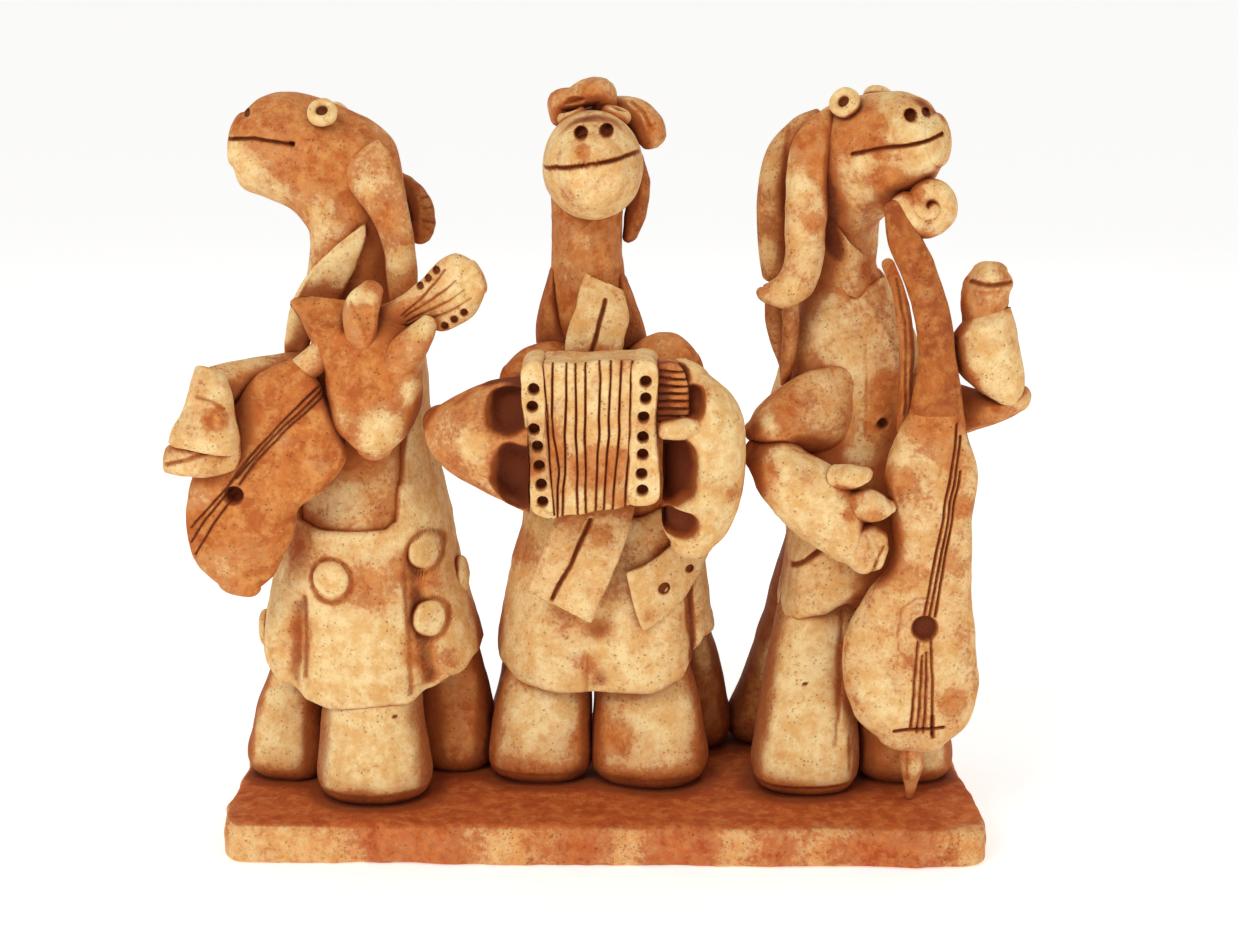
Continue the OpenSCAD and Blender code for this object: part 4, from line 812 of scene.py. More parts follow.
addPlate(name="accordionRightPanel", front=accordion["front"] - 0.4,
         back=accordion["back"] + 0.4, corner=2.0,
         outline=[(10, 168.6), (16.8, 168.6), (18.8, 165.6), (18, 155), (17.8, 146), (18.6, 136),
                  (19.6, 123), (17.2, 121.2), (8.6, 120.6), (9.2, 136), (9.6, 150)], slip=0.76,
         patches=[(13, 148, 4, 0.6)], holes=[(x, z, 1.75, 4.5) for x, z in accordion["holesRight"]],
         **share)
addPlate(name="accordionKeyboard", front=-48.6, back=-36, corner=1.4,
         slot="rubbed_slip", step=0.38, edge=1.4,
         outline=[(17.5, 166.8), (23, 167), (26.2, 165), (27.8, 160), (28.6, 149.4), (26.6, 147.6),
                  (17.5, 147.4)], slip=0.36,
         cuts=[([(17, z), (30, z - 0.4)], 0.5, 1.4)
              for z in (164.6, 162.3, 159.9, 157.5, 155.1, 152.7, 150.2)],
        lumps=((6, 0.25), (2, 0.1)))
print("accordion player shaped")


bassCoat = dict(rows=[[66, 60, 104, 8, 27], [76, 60, 107, 8, 28], [90, 62, 110, 8, 29],
                      [108, 62, 112, 8, 29], [126, 59, 112, 8, 28], [145, 57, 110, 8, 25],
                      [165, 62, 106, 8, 20], [180, 66, 99, 7, 16], [189, 70, 95, 6, 13.5],
                      [196, 71, 94, 6, 13]])
addRoll(name="bassPlayerBody", slot="bare_clay",
        rows=bodyRows(bassCoat["rows"], 3.4, 76, 186, 176), ends=(0, 0.3), step=1.3, square=0.85, slip=0.4)
addCoat(name="bassPlayerCoat", slot="rubbed_slip", wall=4.2, rows=bassCoat["rows"],
        step=0.8,
        hem=[(0, 88), (90, 78), (180, 73), (205, 72), (225, 74), (250, 77), (268, 82), (285, 90), (300, 98),
             (330, 96)],
        top=[(0, 186), (90, 190), (180, 191), (215, 192), (238, 190), (256, 186), (272, 180), (290, 184),
             (320, 186)], folds=[(225, 22, 74, 92, 1.6)], slip=0.68,
        patches=[(93, 152, 7, 0.22), (92, 142, 6, 0.2), (80, 172, 12, 0.68), (72, 150, 10, 0.5),
                 (82, 150, 8, 0.66), (66, 80, 7, 0.6), (88, 120, 8, 0.35), (76, 140, 9, 0.4),
                 (80, 186, 5, 0.3)],
        cuts=[([(62, 89.5), (68, 93.5), (74, 99), (82, 106)], 1.1, 1.8),
              ([(87, 166), (87.6, 150), (87.2, 138), (91.6, 134)], 0.7, 0.35)],
        ridges=[([(72, 192.5), (82, 186), (89, 178), (95, 168.5), (98.5, 154), (99.6, 141)], 1.3, 1.0),
                ([(62, 92.5), (68, 96.5), (74, 102)], 2.2, 1.3),
                ([(60, 75), (71, 77), (80, 81), (88, 86)], 1.8, 0.8)], holes=[(93, 141, 1.75, 3.4)],
        lumps=((22, 0.8), (8, 0.4), (3.2, 0.2)))
addRoll(name="bassPlayerHead", slot="bare_clay", step=0.62, ends=(0.32, 0.1),
        rows=[[106, 243.5, 109, 226, -20, 11.5], [101.5, 248, 105, 219.5, -18, 14],
              [94, 250, 98, 214, -13, 15.4], [84, 248, 92, 208.5, -7, 16], [74, 244.5, 88.5, 202, -2, 16],
              [66.5, 235, 91, 195, 2, 16], [65, 218, 91.5, 190, 4, 15], [66, 203, 93.5, 186, 5, 14],
              [68, 190, 96, 179, 6, 14]], slip=0.62,
        patches=[(92, 222, 6, 0.25), (100, 240, 8, 0.84), (103, 228, 7, 0.86), (80, 236, 8, 0.35),
                 (86, 242, 6, 0.3), (92, 246, 5, 0.7), (88, 233, 4, 0.3), (76, 222, 6, 0.75),
                 (80, 205, 8, 0.66), (90, 192, 6, 0.35), (84, 228, 4, 0.8), (90, 198, 5, 0.62)],
        cuts=[([(80.5, 230.4), (87, 232), (93, 233.5), (100.5, 235), (108.5, 237)], 0.75, 2.6)],
        ridges=[([(82, 229), (92, 230.6), (104, 232)], 1.7, 0.6),
                ([(92, 212), (88.5, 204), (91, 194)], 1.6, 0.9)], hollows=[(88, 208, 3, 7, 0.8)],
        holes=[(98.2, 243, 1.9, 4.5), (103.4, 243.8, 1.3, 3)], lumps=((20, 0.6), (7, 0.35), (3, 0.14)))
addRoll(name="bassPlayerNearEar", slot="rubbed_slip", step=0.62,
        ends=(0.3, 0.7),
        rows=[[66, 240, 76, 243, -9, 3.6], [61.6, 233.5, 74.5, 234, -13, 4.8], [60, 223, 73, 224, -15, 5.4],
              [59.6, 210, 72.6, 210, -15.6, 5.6], [59.8, 198, 72, 198, -16, 5.6],
              [58.6, 191.4, 69, 186, -16, 5.4], [54.6, 188, 61, 180.4, -16, 4.8],
              [52.6, 186.4, 54.8, 181.6, -15.6, 4]], slip=0.55,
        patches=[(66, 236, 7, 0.3), (63, 220, 6, 0.74), (70, 226, 5, 0.25), (66, 204, 6, 0.66),
                 (68, 208, 4, 0.3), (60, 186, 6, 0.72)], lumps=((16, 0.5), (6, 0.35), (3, 0.14)))
addRoll(name="bassPlayerFarEar", slot="washed_clay", step=0.7, ends=(0.3, 0.6),
        rows=[[70, 243, 74, 235, 6, 4], [62, 239, 70, 231, 8, 5], [54.5, 229.5, 65, 225, 7, 5.4],
              [51, 216, 62, 215, 5, 5.4], [51.4, 200, 62, 200, 3, 5], [53, 188, 62, 187, 2, 4]], slip=0.52,
        patches=[(56, 222, 6, 0.72), (54, 196, 5, 0.7), (60, 232, 5, 0.6)],
        cuts=[([(61, 236), (60, 210)], 0.8, 0.5)], lumps=((16, 0.5), (6, 0.3)))
addSet([(addTurned, dict(at=(78, -15.4, 246.4), facing=(-0.5, -0.74, 0.45))),
        (addTurned, dict(at=(90.5, 1, 247.2), facing=(0.3, 0.55, 0.78)))],
       name="bassPlayerEyes", slot="rubbed_slip", profile=eyeProfile, pit=0.23, step=0.35, slip=0.84,
       lumps=((6, 0.35), (2.5, 0.12)))
addSet([(addRoll,
         dict(rows=[[53, 185, 60, 185, -4, 3.2], [54, 174, 61.5, 174, -2, 3.4], [56, 165, 62, 164, 0, 3],
                    [58.6, 158.4, 61, 157.4, 1, 2]])),
        (addRoll,
         dict(rows=[[58.6, 184, 64.6, 183, -12, 3.2], [59.6, 172, 64.6, 171, -12, 3.2],
                    [59, 161, 63.4, 161, -12, 2.8], [59, 153.6, 61.6, 152.6, -11, 1.8]]))],
       name="bassPlayerHairStrands", slot="washed_clay", step=0.6,
       slip=0.5, ends=(0.4, 0.6), lumps=((10, 0.4), (3, 0.15)))
addRoll(name="bassPlayerLapel", slot="bare_clay", step=0.55, ends=(0.6, 0.3),
        rows=[[92.6, 194.5, 95.6, 191.6, -9, 2.6], [95.4, 184, 100, 182.6, -15, 3.2],
              [97.4, 168, 102.2, 168, -19, 3.8], [97.4, 152, 102, 152, -21, 4],
              [97, 140, 101, 140, -22, 3.4]], slip=0.35,
        cuts=[([(96.4, 189), (98.8, 176), (99.4, 160), (99.2, 146)], 0.75, 0.9)],
        lumps=((12, 0.3), (4, 0.2)))
addRoll(name="bassPlayerNearSleeve", slot="rubbed_slip", ends=(0.6, 0.3),
        rows=[[80, 160, 84, 134, -11, 5], [70, 159, 75, 131.6, -14.4, 9.4], [60, 154, 63, 133, -18, 11.4],
              [52, 147, 54, 135, -20, 10.6], [48.4, 142, 49.4, 136.4, -20.4, 7.6]], slip=0.52,
        patches=[(60, 149, 6, 0.3), (54, 143, 4, 0.7), (68, 136, 5, 0.6), (72, 146, 7, 0.55)],
        ridges=[([(47.5, 139.5), (54, 138), (60, 138), (66, 133), (72, 128)], 1.5, 1.4)],
        lumps=((15, 0.6), (6, 0.3), (3, 0.14)))
addSet([(addRoll,
         dict(rows=[[53, 137, 50.4, 126, -22, 8], [62, 137, 55.6, 116.4, -27, 11],
                    [71, 132.6, 65, 107, -31, 11.2], [78.6, 128, 75, 100.4, -34, 10.4],
                    [84.6, 122, 83, 97.4, -35.6, 8.6]], ends=(0.5, 0.3))),
        (addRoll,
         dict(rows=[[75, 131.4, 77.6, 123, -36, 5], [80.6, 132, 82, 124.6, -39.6, 4.8],
                    [84.8, 131.4, 85.4, 127, -41, 3.8]], ends=(0.5, 0.6))),
        (addRoll,
         dict(rows=[[80, 123, 80, 112, -36, 5], [86.6, 124.6, 86, 113.6, -39.4, 5.4],
                    [91.4, 123, 91, 114.6, -40, 4.8], [94, 120.6, 93.6, 116.4, -39.6, 3.6]], ends=(0.5, 0.6),
              slip=0.6)),
        (addRoll,
         dict(rows=[[81, 113, 78, 99, -35, 6], [88, 112, 85, 95.4, -38, 6.2],
                    [92.4, 109.4, 90.4, 96.6, -38.4, 5]], ends=(0.4, 0.4)))],
       name="bassPlayerNearArm", slot="rubbed_slip", step=0.6, slip=0.76,
       patches=[(54, 128, 5, 0.45), (66, 128, 5, 0.56), (84, 104, 6, 0.6), (88, 116, 4, 0.4),
                (80, 116, 3, 0.5)], ridges=[([(82, 118), (83.5, 108), (80, 102)], 1.5, 0.9)],
       hollows=[(83, 113, 4, 3, 1.0)],
       cuts=[([(91.6, 106), (88.6, 99)], 0.6, 0.8), ([(90, 101), (88, 96.5)], 0.6, 0.8)],
       lumps=((14, 0.6), (6, 0.45), (2.6, 0.3)))
addRoll(name="bassPlayerUpperArm", slot="bare_clay", ends=(0.3, 0.5),
        rows=[[106, 157, 108, 136, -4, 9], [117, 153, 119, 137, -12, 9], [127, 152.4, 128.6, 140.4, -17, 9],
              [136, 154.4, 138.6, 146, -20, 8]], slip=0.42, patches=[(138, 150, 5, 0.6)],
        ridges=[([(121, 150), (130, 149), (139, 153)], 1.3, 1.2)], lumps=((12, 0.7), (5, 0.4)))
addRoll(name="bassPlayerRaisedSleeve", slot="rubbed_slip", step=0.6,
        ends=(0.15, 0.35), square=0.85,
        rows=[[117.6, 176.6, 133.2, 181.4, -22, 7.6], [113.6, 170.6, 135, 175, -23, 9.8],
              [115.6, 161.6, 137, 165, -23, 10.2], [121.4, 155, 138.2, 157, -22.6, 9.4],
              [127.4, 151.6, 137.2, 152, -22, 7.6]], slip=0.76,
        patches=[(118, 158, 5, 0.45), (134, 170, 4, 0.6)],
        ridges=[([(113.4, 171), (118, 175), (126, 177), (134, 180)], 1.2, 0.9)],
        lumps=((13, 0.6), (6, 0.3), (3, 0.12)))
addRoll(name="bassPlayerFist", slot="bare_clay", step=0.55, ends=(0.2, 0.45),
        square=0.85,
        rows=[[117.4, 176, 131.6, 181, -22, 7], [116.6, 184, 132.4, 186, -22, 8],
              [117.6, 189.6, 132.6, 190.4, -22, 8], [120.4, 193.4, 131, 192.8, -22, 6.6]], slip=0.5,
        patches=[(124, 193, 5, 0.74)],
        cuts=[([(118, 190), (124, 189.4), (131.6, 190)], 0.9, 1.1),
              ([(122, 187), (128, 187.6)], 0.6, 0.4)], ridges=[([(119, 192.6), (131, 192.2)], 1.3, 0.6)],
        lumps=((8, 0.6), (3.5, 0.35), (1.8, 0.15)))

bassStrings = [[(115.4, 147), (110.4, 112), (106, 82)], [(116, 141), (111.6, 108), (107.6, 81.5)],
               [(116, 130), (112, 102), (109.4, 81.5)], [(104, 73), (102.4, 42.6)],
               [(105.6, 68), (104.6, 41)], [(107, 69), (106.8, 41)], [(108.4, 74), (109.6, 40)]]
bassCuts = [(path, 0.5, 1.1) for path in bassStrings]
bassCuts += [([(97.4, 41.2), (104, 42), (113.4, 42.6)], 0.62, 1.3), ([(109.4, 47), (110, 39)], 0.75, 1.0),
             ([(97, 76), (97.6, 70), (101, 66.4)], 0.55, 0.3),
             ([(97, 76), (98.6, 84), (103, 87.6), (109, 88)], 0.55, 0.3)]
addRoll(name="bassBody", slot="rubbed_slip", step=0.44, square=0.74, ends=(0.7, 0.3),
        rows=[[93, 36.6, 114.6, 35, -32, 5], [84.6, 45, 122.4, 42.6, -32, 7], [80.4, 58, 125, 56.4, -32, 8],
              [81.4, 73, 124, 72, -32, 8.2], [88.4, 87.6, 122.2, 88, -32, 8.2],
              [95.4, 98, 121.6, 102, -32, 8.2], [94, 114, 121.4, 116, -32, 8.2],
              [92.6, 128, 122.4, 128, -32, 8], [96, 139.6, 119.6, 139, -31.4, 7],
              [100.4, 148, 117, 147, -30.4, 5.4]], slip=0.62,
        patches=[(108, 148, 12, 0.2), (112, 136, 7, 0.42), (96, 128, 6, 0.45), (98, 118, 5, 0.8),
                 (95, 108, 4, 0.35), (116, 100, 6, 0.45), (118, 118, 5, 0.4), (100, 94, 6, 0.5),
                 (92, 72, 8, 0.62), (114, 62, 8, 0.7), (116, 52, 6, 0.4), (98, 48, 8, 0.84),
                 (90, 56, 6, 0.84), (105, 76, 7, 0.6), (100, 66, 5, 0.5), (110, 92, 5, 0.7),
                 (120, 74, 5, 0.55)],
        cuts=bassCuts,
        holes=[(106.2, 77.4, 4.0, 3.2)],
        ridges=[([(105.4, 72.6), (107.6, 71.6)], 1.5, 0.9), ([(104, 74.6), (106, 73.6)], 0.8, 0.8)],
        hollows=[(99, 124, 4, 9, 0.9), (106, 77, 9, 10, 0.5), (115, 124, 5, 10, 0.6)],
        lumps=((18, 0.6), (7, 0.3), (3, 0.12)))
addRoll(name="bassNeck", slot="washed_clay", step=0.6, square=0.85, ends=(0, 0.4),
        rows=[[99, 144, 118.4, 143, -31, 4.8], [102, 160, 115.4, 160, -31, 5],
              [101.4, 176, 112.8, 177, -30.4, 5], [97, 191, 107.8, 193, -29, 5],
              [92, 203, 101.6, 206, -27, 4.8], [90.6, 213, 96.8, 215.4, -25, 4.4]], slip=0.18,
        patches=[(104, 188, 4, 0.4), (108, 146, 9, 0.32)],
        cuts=[([(103, 178), (112, 177)], 0.5, 0.3), ([(115.4, 148), (114.4, 158)], 0.5, 0.6)],
        lumps=((14, 0.5), (6, 0.3), (3, 0.12)))
# the scroll: a tube on a shrinking spiral, r = 7.6 - 5.5 s, turned 1.4 times
turns = np.linspace(0, 1, 15)
spiral = [[104.8 + (7.6 - 5.5 * s) * math.cos(q), -25, 214.6 + (7.8 - 5.6 * s) * math.sin(q),
           4.3 - 1.3 * s, 5.4] for s, q in zip(turns, np.radians(172 + 504 * turns))]
addTube(name="bassScroll", slot="rubbed_slip", step=0.5, up=(0, 1, 0), rows=spiral,
        slip=0.7, ends=(0.6, 0.6), patches=[(100, 218, 4, 0.35), (104, 206, 4, 0.5)],
        lumps=((8, 0.35), (3, 0.2)))
addRoll(name="bassEndpin", slot="rubbed_slip", step=0.5, ends=(0.2, 0.1),
        floor=top - 0.4,
        rows=[[99.4, 36, 109, 35.6, -31, 5], [100.6, 27, 108, 26, -30.6, 4.4],
              [102, 19.6, 106.4, 19.2, -30.2, 3], [102.8, 14.6, 104.8, 14.4, -30, 1.6]], slip=0.46,
        patches=[(105, 27, 3, 0.7)], cuts=[([(102, 33), (102.6, 22)], 0.6, 0.5)],
        lumps=((7, 0.35), (3, 0.2)))
print("double bass player shaped")


# The clay is marked in a grid of cells, by points under every surface. Blurring that and reading it just
# outside a surface gives how much clay stands close by: half at most on the flat, more in a crease.
cell = 1.5
cellCounts = (215, 108, 190)
gridCorner = np.array([-160.0, -80, -15])   # all the clay is inside the grid, with room round it


# Mean over 2 radius + 1 cells on each axis, from a running sum
def blur(field, radius, times=2):
    wide = 2 * radius + 1
    for _ in range(times):
        for axis in range(3):
            margin = [(radius + 1, radius) if axis == k else (0, 0) for k in range(3)]
            run = np.cumsum(np.pad(field, margin), axis)
            size = run.shape[axis]
            field = (np.take(run, range(wide, size), axis) - np.take(run, range(size - wide), axis)) / wide
    return field


# The field between its cells: the eight round a point, each weighed by how near it is
def readField(field, points):
    q = np.clip((points - gridCorner) / cell, 0, np.array(field.shape) - 1.01)
    low = np.floor(q).astype(int)
    f = q - low
    total = 0
    for dx in (0, 1):
        for dy in (0, 1):
            for dz in (0, 1):
                w = np.abs(1 - dx - f[..., 0]) * np.abs(1 - dy - f[..., 1]) * np.abs(1 - dz - f[..., 2])
                total = total + w * field[low[..., 0] + dx, low[..., 1] + dy, low[..., 2] + dz]
    return total


every = [(g[0], normals(g[0], g[1] is None), g[4]) for p in pieces for g in p["grids"]]
clay = np.zeros(cellCounts, np.float32)
for grid, out, solid in every:
    for depth in [d for d in (0.7, 1.9, 3.2, 4.6, 6.0, 7.4) if d < max(solid, 1)]:
        q = np.floor((grid - out * depth - gridCorner) / cell + 0.5).astype(int).reshape(-1, 3)
        q = np.clip(q, 0, np.array(clay.shape) - 1)
        clay[q[:, 0], q[:, 1], q[:, 2]] = 1
fineClay, wideClay = blur(clay, 1), blur(clay, 4)
for p in pieces:
    worked = []
    for grid, poles, pressed, slip, solid in p["grids"]:
        out = normals(grid, poles is None)
        close = readField(fineClay, grid + out * 1.5)
        around = readField(wideClay, grid + out * 5)
        # crease and shade: dark wash and painted shade where clay stands close, in creases, hollows and
        # between pieces; edge: painted highlight on ridges, where little clay is near
        crease = smooth((close - 0.34) / 0.45) * 0.82 * p.get("crease", 1)
        shade = smooth((around - 0.14) / 0.36) * p.get("crease", 1)
        edge = smooth((0.12 - close) / 0.1)
        # legs: painted shade on the flanks turned left and right, and darker towards the foot
        if "foot" in p:
            ankle = 23 - grid[..., 2] + noise(grid, 9, 5) * 3.5
            flank = smooth((np.abs(out[..., 0]) + noise(grid, 12, 6) * 0.1 - 0.5) / 0.45) * 0.72
            shade = np.maximum(np.maximum(shade, flank), smooth((ankle + 4) / 13) * 0.9)
            crease = np.maximum(crease, smooth(ankle / 10) * 0.66)
        worked.append((grid, poles, np.maximum(pressed, crease), slip, shade, edge))
    p["grids"] = worked
print("closeness measured")


# Grids become one mesh: quads (i, j), (i, j + 1), (i + 1, j + 1), (i + 1, j), with a fan at each pole
def makeMesh(name, grids):
    points, loops, starts, layers, base = [], [], [], [[], [], [], []], 0
    corners = 0
    for grid, poles, *values in grids:
        m, n = grid.shape[:2]
        rows = np.arange(m if poles is None else m - 1)
        i, j = np.meshgrid(rows, np.arange(n), indexing="ij")
        k, up = (j + 1) % n, (i + 1) % m
        quads = np.stack([i * n + j, i * n + k, up * n + k, up * n + j], 2).reshape(-1) + base
        loops.append(quads)
        starts.append(np.arange(0, len(quads), 4) + corners)
        corners += len(quads)
        points.append(grid.reshape(-1, 3))
        for layer, value in zip(layers, values):
            layer.append(value.reshape(-1))
        count = m * n
        if poles is not None:
            ring = np.arange(n)
            first = np.stack([np.full(n, count), (ring + 1) % n, ring], 1)
            last = np.stack([np.full(n, count + 1), (m - 1) * n + ring, (m - 1) * n + (ring + 1) % n], 1)
            fans = np.concatenate([first, last]).reshape(-1) + base
            loops.append(fans)
            starts.append(np.arange(0, len(fans), 3) + corners)
            corners += len(fans)
            points.append(np.array(poles))
            for layer, value in zip(layers, values):
                layer.append(np.array([value[0].mean(), value[-1].mean()]))
            count += 2
        base += count
    points, loops, starts = np.concatenate(points) * mm, np.concatenate(loops), np.concatenate(starts)
    mesh = bpy.data.meshes.new(name)
    mesh.vertices.add(len(points))
    mesh.vertices.foreach_set("co", points.astype(np.float32).ravel())
    mesh.loops.add(len(loops))
    mesh.loops.foreach_set("vertex_index", loops.astype(np.int32))
    mesh.polygons.add(len(starts))
    mesh.polygons.foreach_set("loop_start", starts.astype(np.int32))
    mesh.update(calc_edges=True)
    mesh.polygons.foreach_set("use_smooth", np.ones(len(starts), bool))
    for title, layer in zip(("pressed", "slip", "shade", "edge"), layers):
        attribute = mesh.attributes.new(title, "FLOAT", "POINT")
        attribute.data.foreach_set("value", np.concatenate(layer).astype(np.float32))
    mesh.validate()
    piece = bpy.data.objects.new(name, mesh)
    bpy.context.scene.collection.objects.link(piece)
    return piece


# One socket of a material. Sums written with it become Math nodes.
class Wire:
    def __init__(self, tree, socket):
        self.tree, self.socket = tree, socket

    def sum(self, operation, *values):
        return node(self.tree, "ShaderNodeMath", dict(operation=operation), dict(enumerate(values)))

    def __add__(self, other): return self.sum("ADD", self, other)
    def __radd__(self, other): return self.sum("ADD", other, self)
    def __sub__(self, other): return self.sum("SUBTRACT", self, other)
    def __rsub__(self, other): return self.sum("SUBTRACT", other, self)
    def __mul__(self, other): return self.sum("MULTIPLY", self, other)
    def __rmul__(self, other): return self.sum("MULTIPLY", other, self)


# Any node: its type, its settings first, then the values or wires of its sockets
def node(tree, kind, settings=None, sockets=None, out=0):
    made = tree.nodes.new(kind)
    for key, value in (settings or {}).items():
        if key == "stops":
            while len(made.color_ramp.elements) < len(value):
                made.color_ramp.elements.new(0.5)
            for element, (at, colour) in zip(made.color_ramp.elements, value):
                element.position, element.color = at, (*colour, 1)
        else:
            setattr(made, key, value)
    for key, value in (sockets or {}).items():
        if isinstance(value, Wire):
            tree.links.new(value.socket, made.inputs[key])
        else:
            made.inputs[key].default_value = value
    return Wire(tree, made.outputs[out]) if len(made.outputs) else None


# sRGB hex to the linear colour a shader takes
def colour(hexText):
    channels = [int(hexText[i:i + 2], 16) / 255 for i in (0, 2, 4)]
    return tuple(c / 12.92 if c <= 0.04045 else ((c + 0.055) / 1.055) ** 2.4 for c in channels)


# wash and grimeAndShade colour the real wash, flecks and pores, and also the painted shade in creases,
# hollows and between pieces
looks = dict(figure=dict(clay="CE7A38", clayPale="DE9A54", clayRed="B25A24", slip="F5D99E",
                         slipWarm="E3B16C", wash="64260C", grimeAndShade="984718", wear=1.0),
             # a darker copy of the figure colours, used on the back legs, far ears and some other pieces:
             # painted shade on those set back, along with a browner wash
             washedAndShaded=dict(clay="B9662A", clayPale="CC8644", clayRed="9A4A1E", slip="E6C084",
                         slipWarm="D59E5C", wash="64250B", grimeAndShade="86401A", wear=0.8),
             slab=dict(clay="C46028", clayPale="D47E3E", clayRed="AC4A1C", slip="EFCB8C", slipWarm="E0A45E",
                       wash="64260C", grimeAndShade="8E3E16", wear=1.1))


def clayMaterial(name, look, seed):
    material = bpy.data.materials.new(name)
    material.use_nodes = True
    tree = material.node_tree
    tree.nodes.clear()
    place = node(tree, "ShaderNodeTexCoord", out=3)
    moved = node(tree, "ShaderNodeMapping", None,
                 {0: place, "Location": (seed * 0.31, seed * 0.17, seed * 0.23)})

    def grain(scale, detail=3.0, rough=0.6, warp=0.0):
        return node(tree, "ShaderNodeTexNoise", dict(noise_dimensions="3D"),
                    {"Vector": moved, "Scale": scale, "Detail": detail, "Roughness": rough,
                     "Distortion": warp})

    def ease(value, low, high, toLow=0.0, toHigh=1.0):
        return node(tree, "ShaderNodeMapRange", dict(interpolation_type="SMOOTHSTEP", clamp=True),
                    {"Value": value, "From Min": low, "From Max": high, "To Min": toLow, "To Max": toHigh})

    def mixed(share, a, b):
        a, b = ((*colour(c), 1) if isinstance(c, str) else c for c in (a, b))
        return node(tree, "ShaderNodeMix", dict(data_type="RGBA"), {0: share, 6: a, 7: b}, out=2)

    def painted(title):
        return node(tree, "ShaderNodeAttribute", dict(attribute_name=title), out=2)

    # pressed: dark wash and painted shade in creases, hollows, scored lines and holes; shade: painted shade
    # in broad hollows and between pieces; edge: painted highlight on ridges
    pressed, slip, shade, edge = (painted(t) for t in ("pressed", "slip", "shade", "edge"))
    broad, blotch, speck, dust = grain(38, 3), grain(115, 4, 0.65, 0.6), grain(620, 3, 0.7), grain(1500, 2)
    # where the slip still covers the clay: painted amount, broken up at three scales, less under the painted
    # shade of creases and hollows, more on the painted highlight of edges
    cover = slip + (broad - 0.5) * 0.3 + (blotch - 0.5) * 0.55 + (speck - 0.5) * 0.6
    cover = cover - shade * 0.5 - pressed * 0.5 + edge * 0.3
    mask = ease(cover, 0.26, 0.84)
    clayTone = mixed(ease(blotch, 0.36, 0.66), look["clayRed"], look["clay"])
    clayTone = mixed(ease(grain(210, 4, 0.7), 0.42, 0.68, 0.0, 0.75), clayTone, look["clayPale"])
    slipTone = mixed(ease(grain(150, 4, 0.7), 0.34, 0.66), look["slip"], look["slipWarm"])
    tone = mixed(mask, clayTone, slipTone)
    # the brush line where a patch of slip ends
    rim = ease(cover, 0.36, 0.46) * ease(cover, 0.46, 0.58, 1.0, 0.0)
    tone = mixed(rim * 0.35, tone, look["clayRed"])
    # specks rubbed through the slip, and pores
    fleck = ease(speck, 0.54, 0.68) * ease(blotch, 0.38, 0.62) * look["wear"]
    tone = mixed(fleck * 0.5, tone, look["grimeAndShade"])
    cellSize = node(tree, "ShaderNodeTexVoronoi", dict(feature="F1"),
                    {"Vector": moved, "Scale": 620, "Randomness": 1.0})
    pore = ease(cellSize, 0.1, 0.26, 1.0, 0.0) * ease(grain(190, 2), 0.48, 0.6)
    tone = mixed(pore * 0.5, tone, look["wash"])
    # painted shade, with grime, in the broad hollows, between pieces and on leg flanks, then painted shade,
    # with dark wash, in creases, scored lines and holes
    tone = mixed(ease(shade + (blotch - 0.5) * 0.6, 0.16, 0.9) * 0.78, tone, look["grimeAndShade"])
    deep = ease(pressed + (speck - 0.5) * 0.5 + (blotch - 0.5) * 0.3, 0.12, 0.9)
    tone = mixed(deep * 0.86, tone, look["wash"])
    # painted highlight on ridges and edges, with slip left on the high points
    tone = mixed(ease(edge + (speck - 0.5) * 0.8, 0.35, 0.9) * 0.45, tone, look["slip"])
    scratch = node(tree, "ShaderNodeTexNoise", None, {"Vector": node(tree, "ShaderNodeMapping", None, {
        0: place, "Rotation": (0.3, 0.5, 0.9), "Scale": (0.08, 1, 1)}), "Scale": 900, "Detail": 2.0})
    height = speck * 0.35 + dust * 0.2 + blotch * 0.5 - pore * 0.8 + scratch * 0.12 + mask * 0.16
    bump = node(tree, "ShaderNodeBump", None, {"Strength": 0.62, "Distance": 0.0006, "Height": height})
    rough = 0.86 - ease(broad, 0.4, 0.7) * 0.12 + deep * 0.06
    node(tree, "ShaderNodeOutputMaterial", None, {"Surface": node(tree, "ShaderNodeBsdfPrincipled", None, {
        "Base Color": tone, "Roughness": rough, "Specular IOR Level": 0.28, "Normal": bump})})
    return material


finishes = dict(rubbed_slip=clayMaterial("rubbedSlip", looks["figure"], 1),
                bare_clay=clayMaterial("bareClay", looks["figure"], 2),
                washed_clay=clayMaterial("washedShadedClay", looks["washedAndShaded"], 3),
                slab=clayMaterial("slabClay", looks["slab"], 4))
for p in pieces:
    made = makeMesh(p["name"], p["grids"])
    made.data.materials.append(finishes[p.get("look", p["slot"])])
    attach(made, "root")
    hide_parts(p["node"])
names = {p["name"] for p in pieces}
print("clay pieces:", len(pieces), "faces:",
      sum(len(o.data.polygons) for o in bpy.data.objects if o.type == "MESH" and o.name in names))


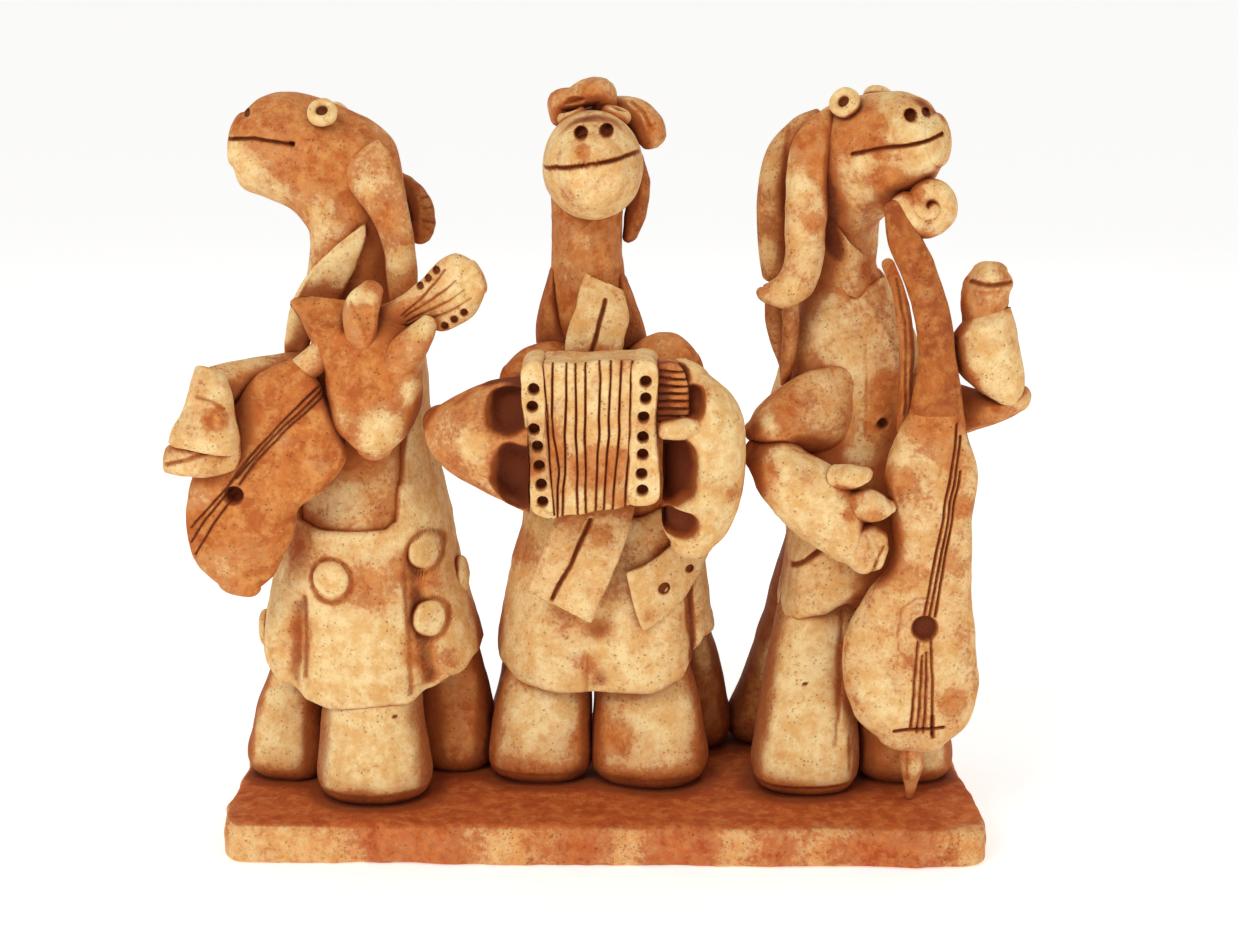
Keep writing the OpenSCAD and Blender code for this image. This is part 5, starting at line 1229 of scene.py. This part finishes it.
room = dict(floor=30.0, floorColour="F6F5F3", glow=0.42, sky=0.58, key=5.2, fill=1.5, backLight=1.6)
size = room["floor"]
u = np.linspace(-1, 1, 9)
x, y = np.meshgrid(u, u, indexing="ij")
flat = np.stack([x * size, y * size, 0 * x - 0.0002], 2).reshape(-1, 3)
i, j = np.meshgrid(np.arange(8), np.arange(8), indexing="ij")
faces = np.stack([i * 9 + j, (i + 1) * 9 + j, (i + 1) * 9 + j + 1, i * 9 + j + 1], 2).reshape(-1, 4)
floorMesh = bpy.data.meshes.new("paleFloor")
floorMesh.from_pydata(flat.tolist(), [], faces.tolist())
floor = bpy.data.objects.new("paleFloor", floorMesh)
bpy.context.scene.collection.objects.link(floor)
paper = bpy.data.materials.new("palePaper")
paper.use_nodes = True
shader = paper.node_tree.nodes["Principled BSDF"]
shader.inputs["Base Color"].default_value = (*colour(room["floorColour"]), 1)
shader.inputs["Roughness"].default_value = 0.9
shader.inputs["Emission Color"].default_value = (1, 1, 1, 1)
shader.inputs["Emission Strength"].default_value = room["glow"]   # lit from under, as on a light table
floorMesh.materials.append(paper)

world = bpy.data.worlds.new("softRoom")
world.use_nodes = True
world.node_tree.nodes["Background"].inputs[0].default_value = (1, 1, 1, 1)
world.node_tree.nodes["Background"].inputs[1].default_value = room["sky"]
bpy.context.scene.world = world


# A soft lamp: a square area light turned to face a point
def softLamp(name, place, toward, size, power, tint=(1, 0.98, 0.95)):
    lamp = bpy.data.lights.new(name, "AREA")
    lamp.size, lamp.energy, lamp.color = size, power, tint
    thing = bpy.data.objects.new(name, lamp)
    bpy.context.scene.collection.objects.link(thing)
    thing.location = place
    thing.rotation_euler = aim(place, toward)
    return thing


def aim(place, toward):
    return (Vector(toward) - Vector(place)).to_track_quat("-Z", "Y").to_euler()


middle = (0, 0, 0.12)
softLamp("keyLamp", (-0.55, -0.95, 0.85), middle, 0.55, room["key"])
softLamp("fillLamp", (0.9, -0.7, 0.5), middle, 0.8, room["fill"])
softLamp("backLamp", (0.1, 0.9, 0.9), middle, 0.9, room["backLight"])

view = dict(place=(0.01932, -0.73775, 0.292), toward=(0.005, 0, 0.123), lens=64.38)
camera = bpy.data.cameras.new("camera")
camera.lens, camera.sensor_width = view["lens"], 36
camera.clip_start, camera.clip_end = 0.01, 60
eye = bpy.data.objects.new("camera", camera)
bpy.context.scene.collection.objects.link(eye)
eye.location, eye.rotation_euler = view["place"], aim(view["place"], view["toward"])
bpy.context.scene.camera = eye
bpy.context.scene.view_settings.view_transform = "Standard"

bpy.context.view_layer.update()
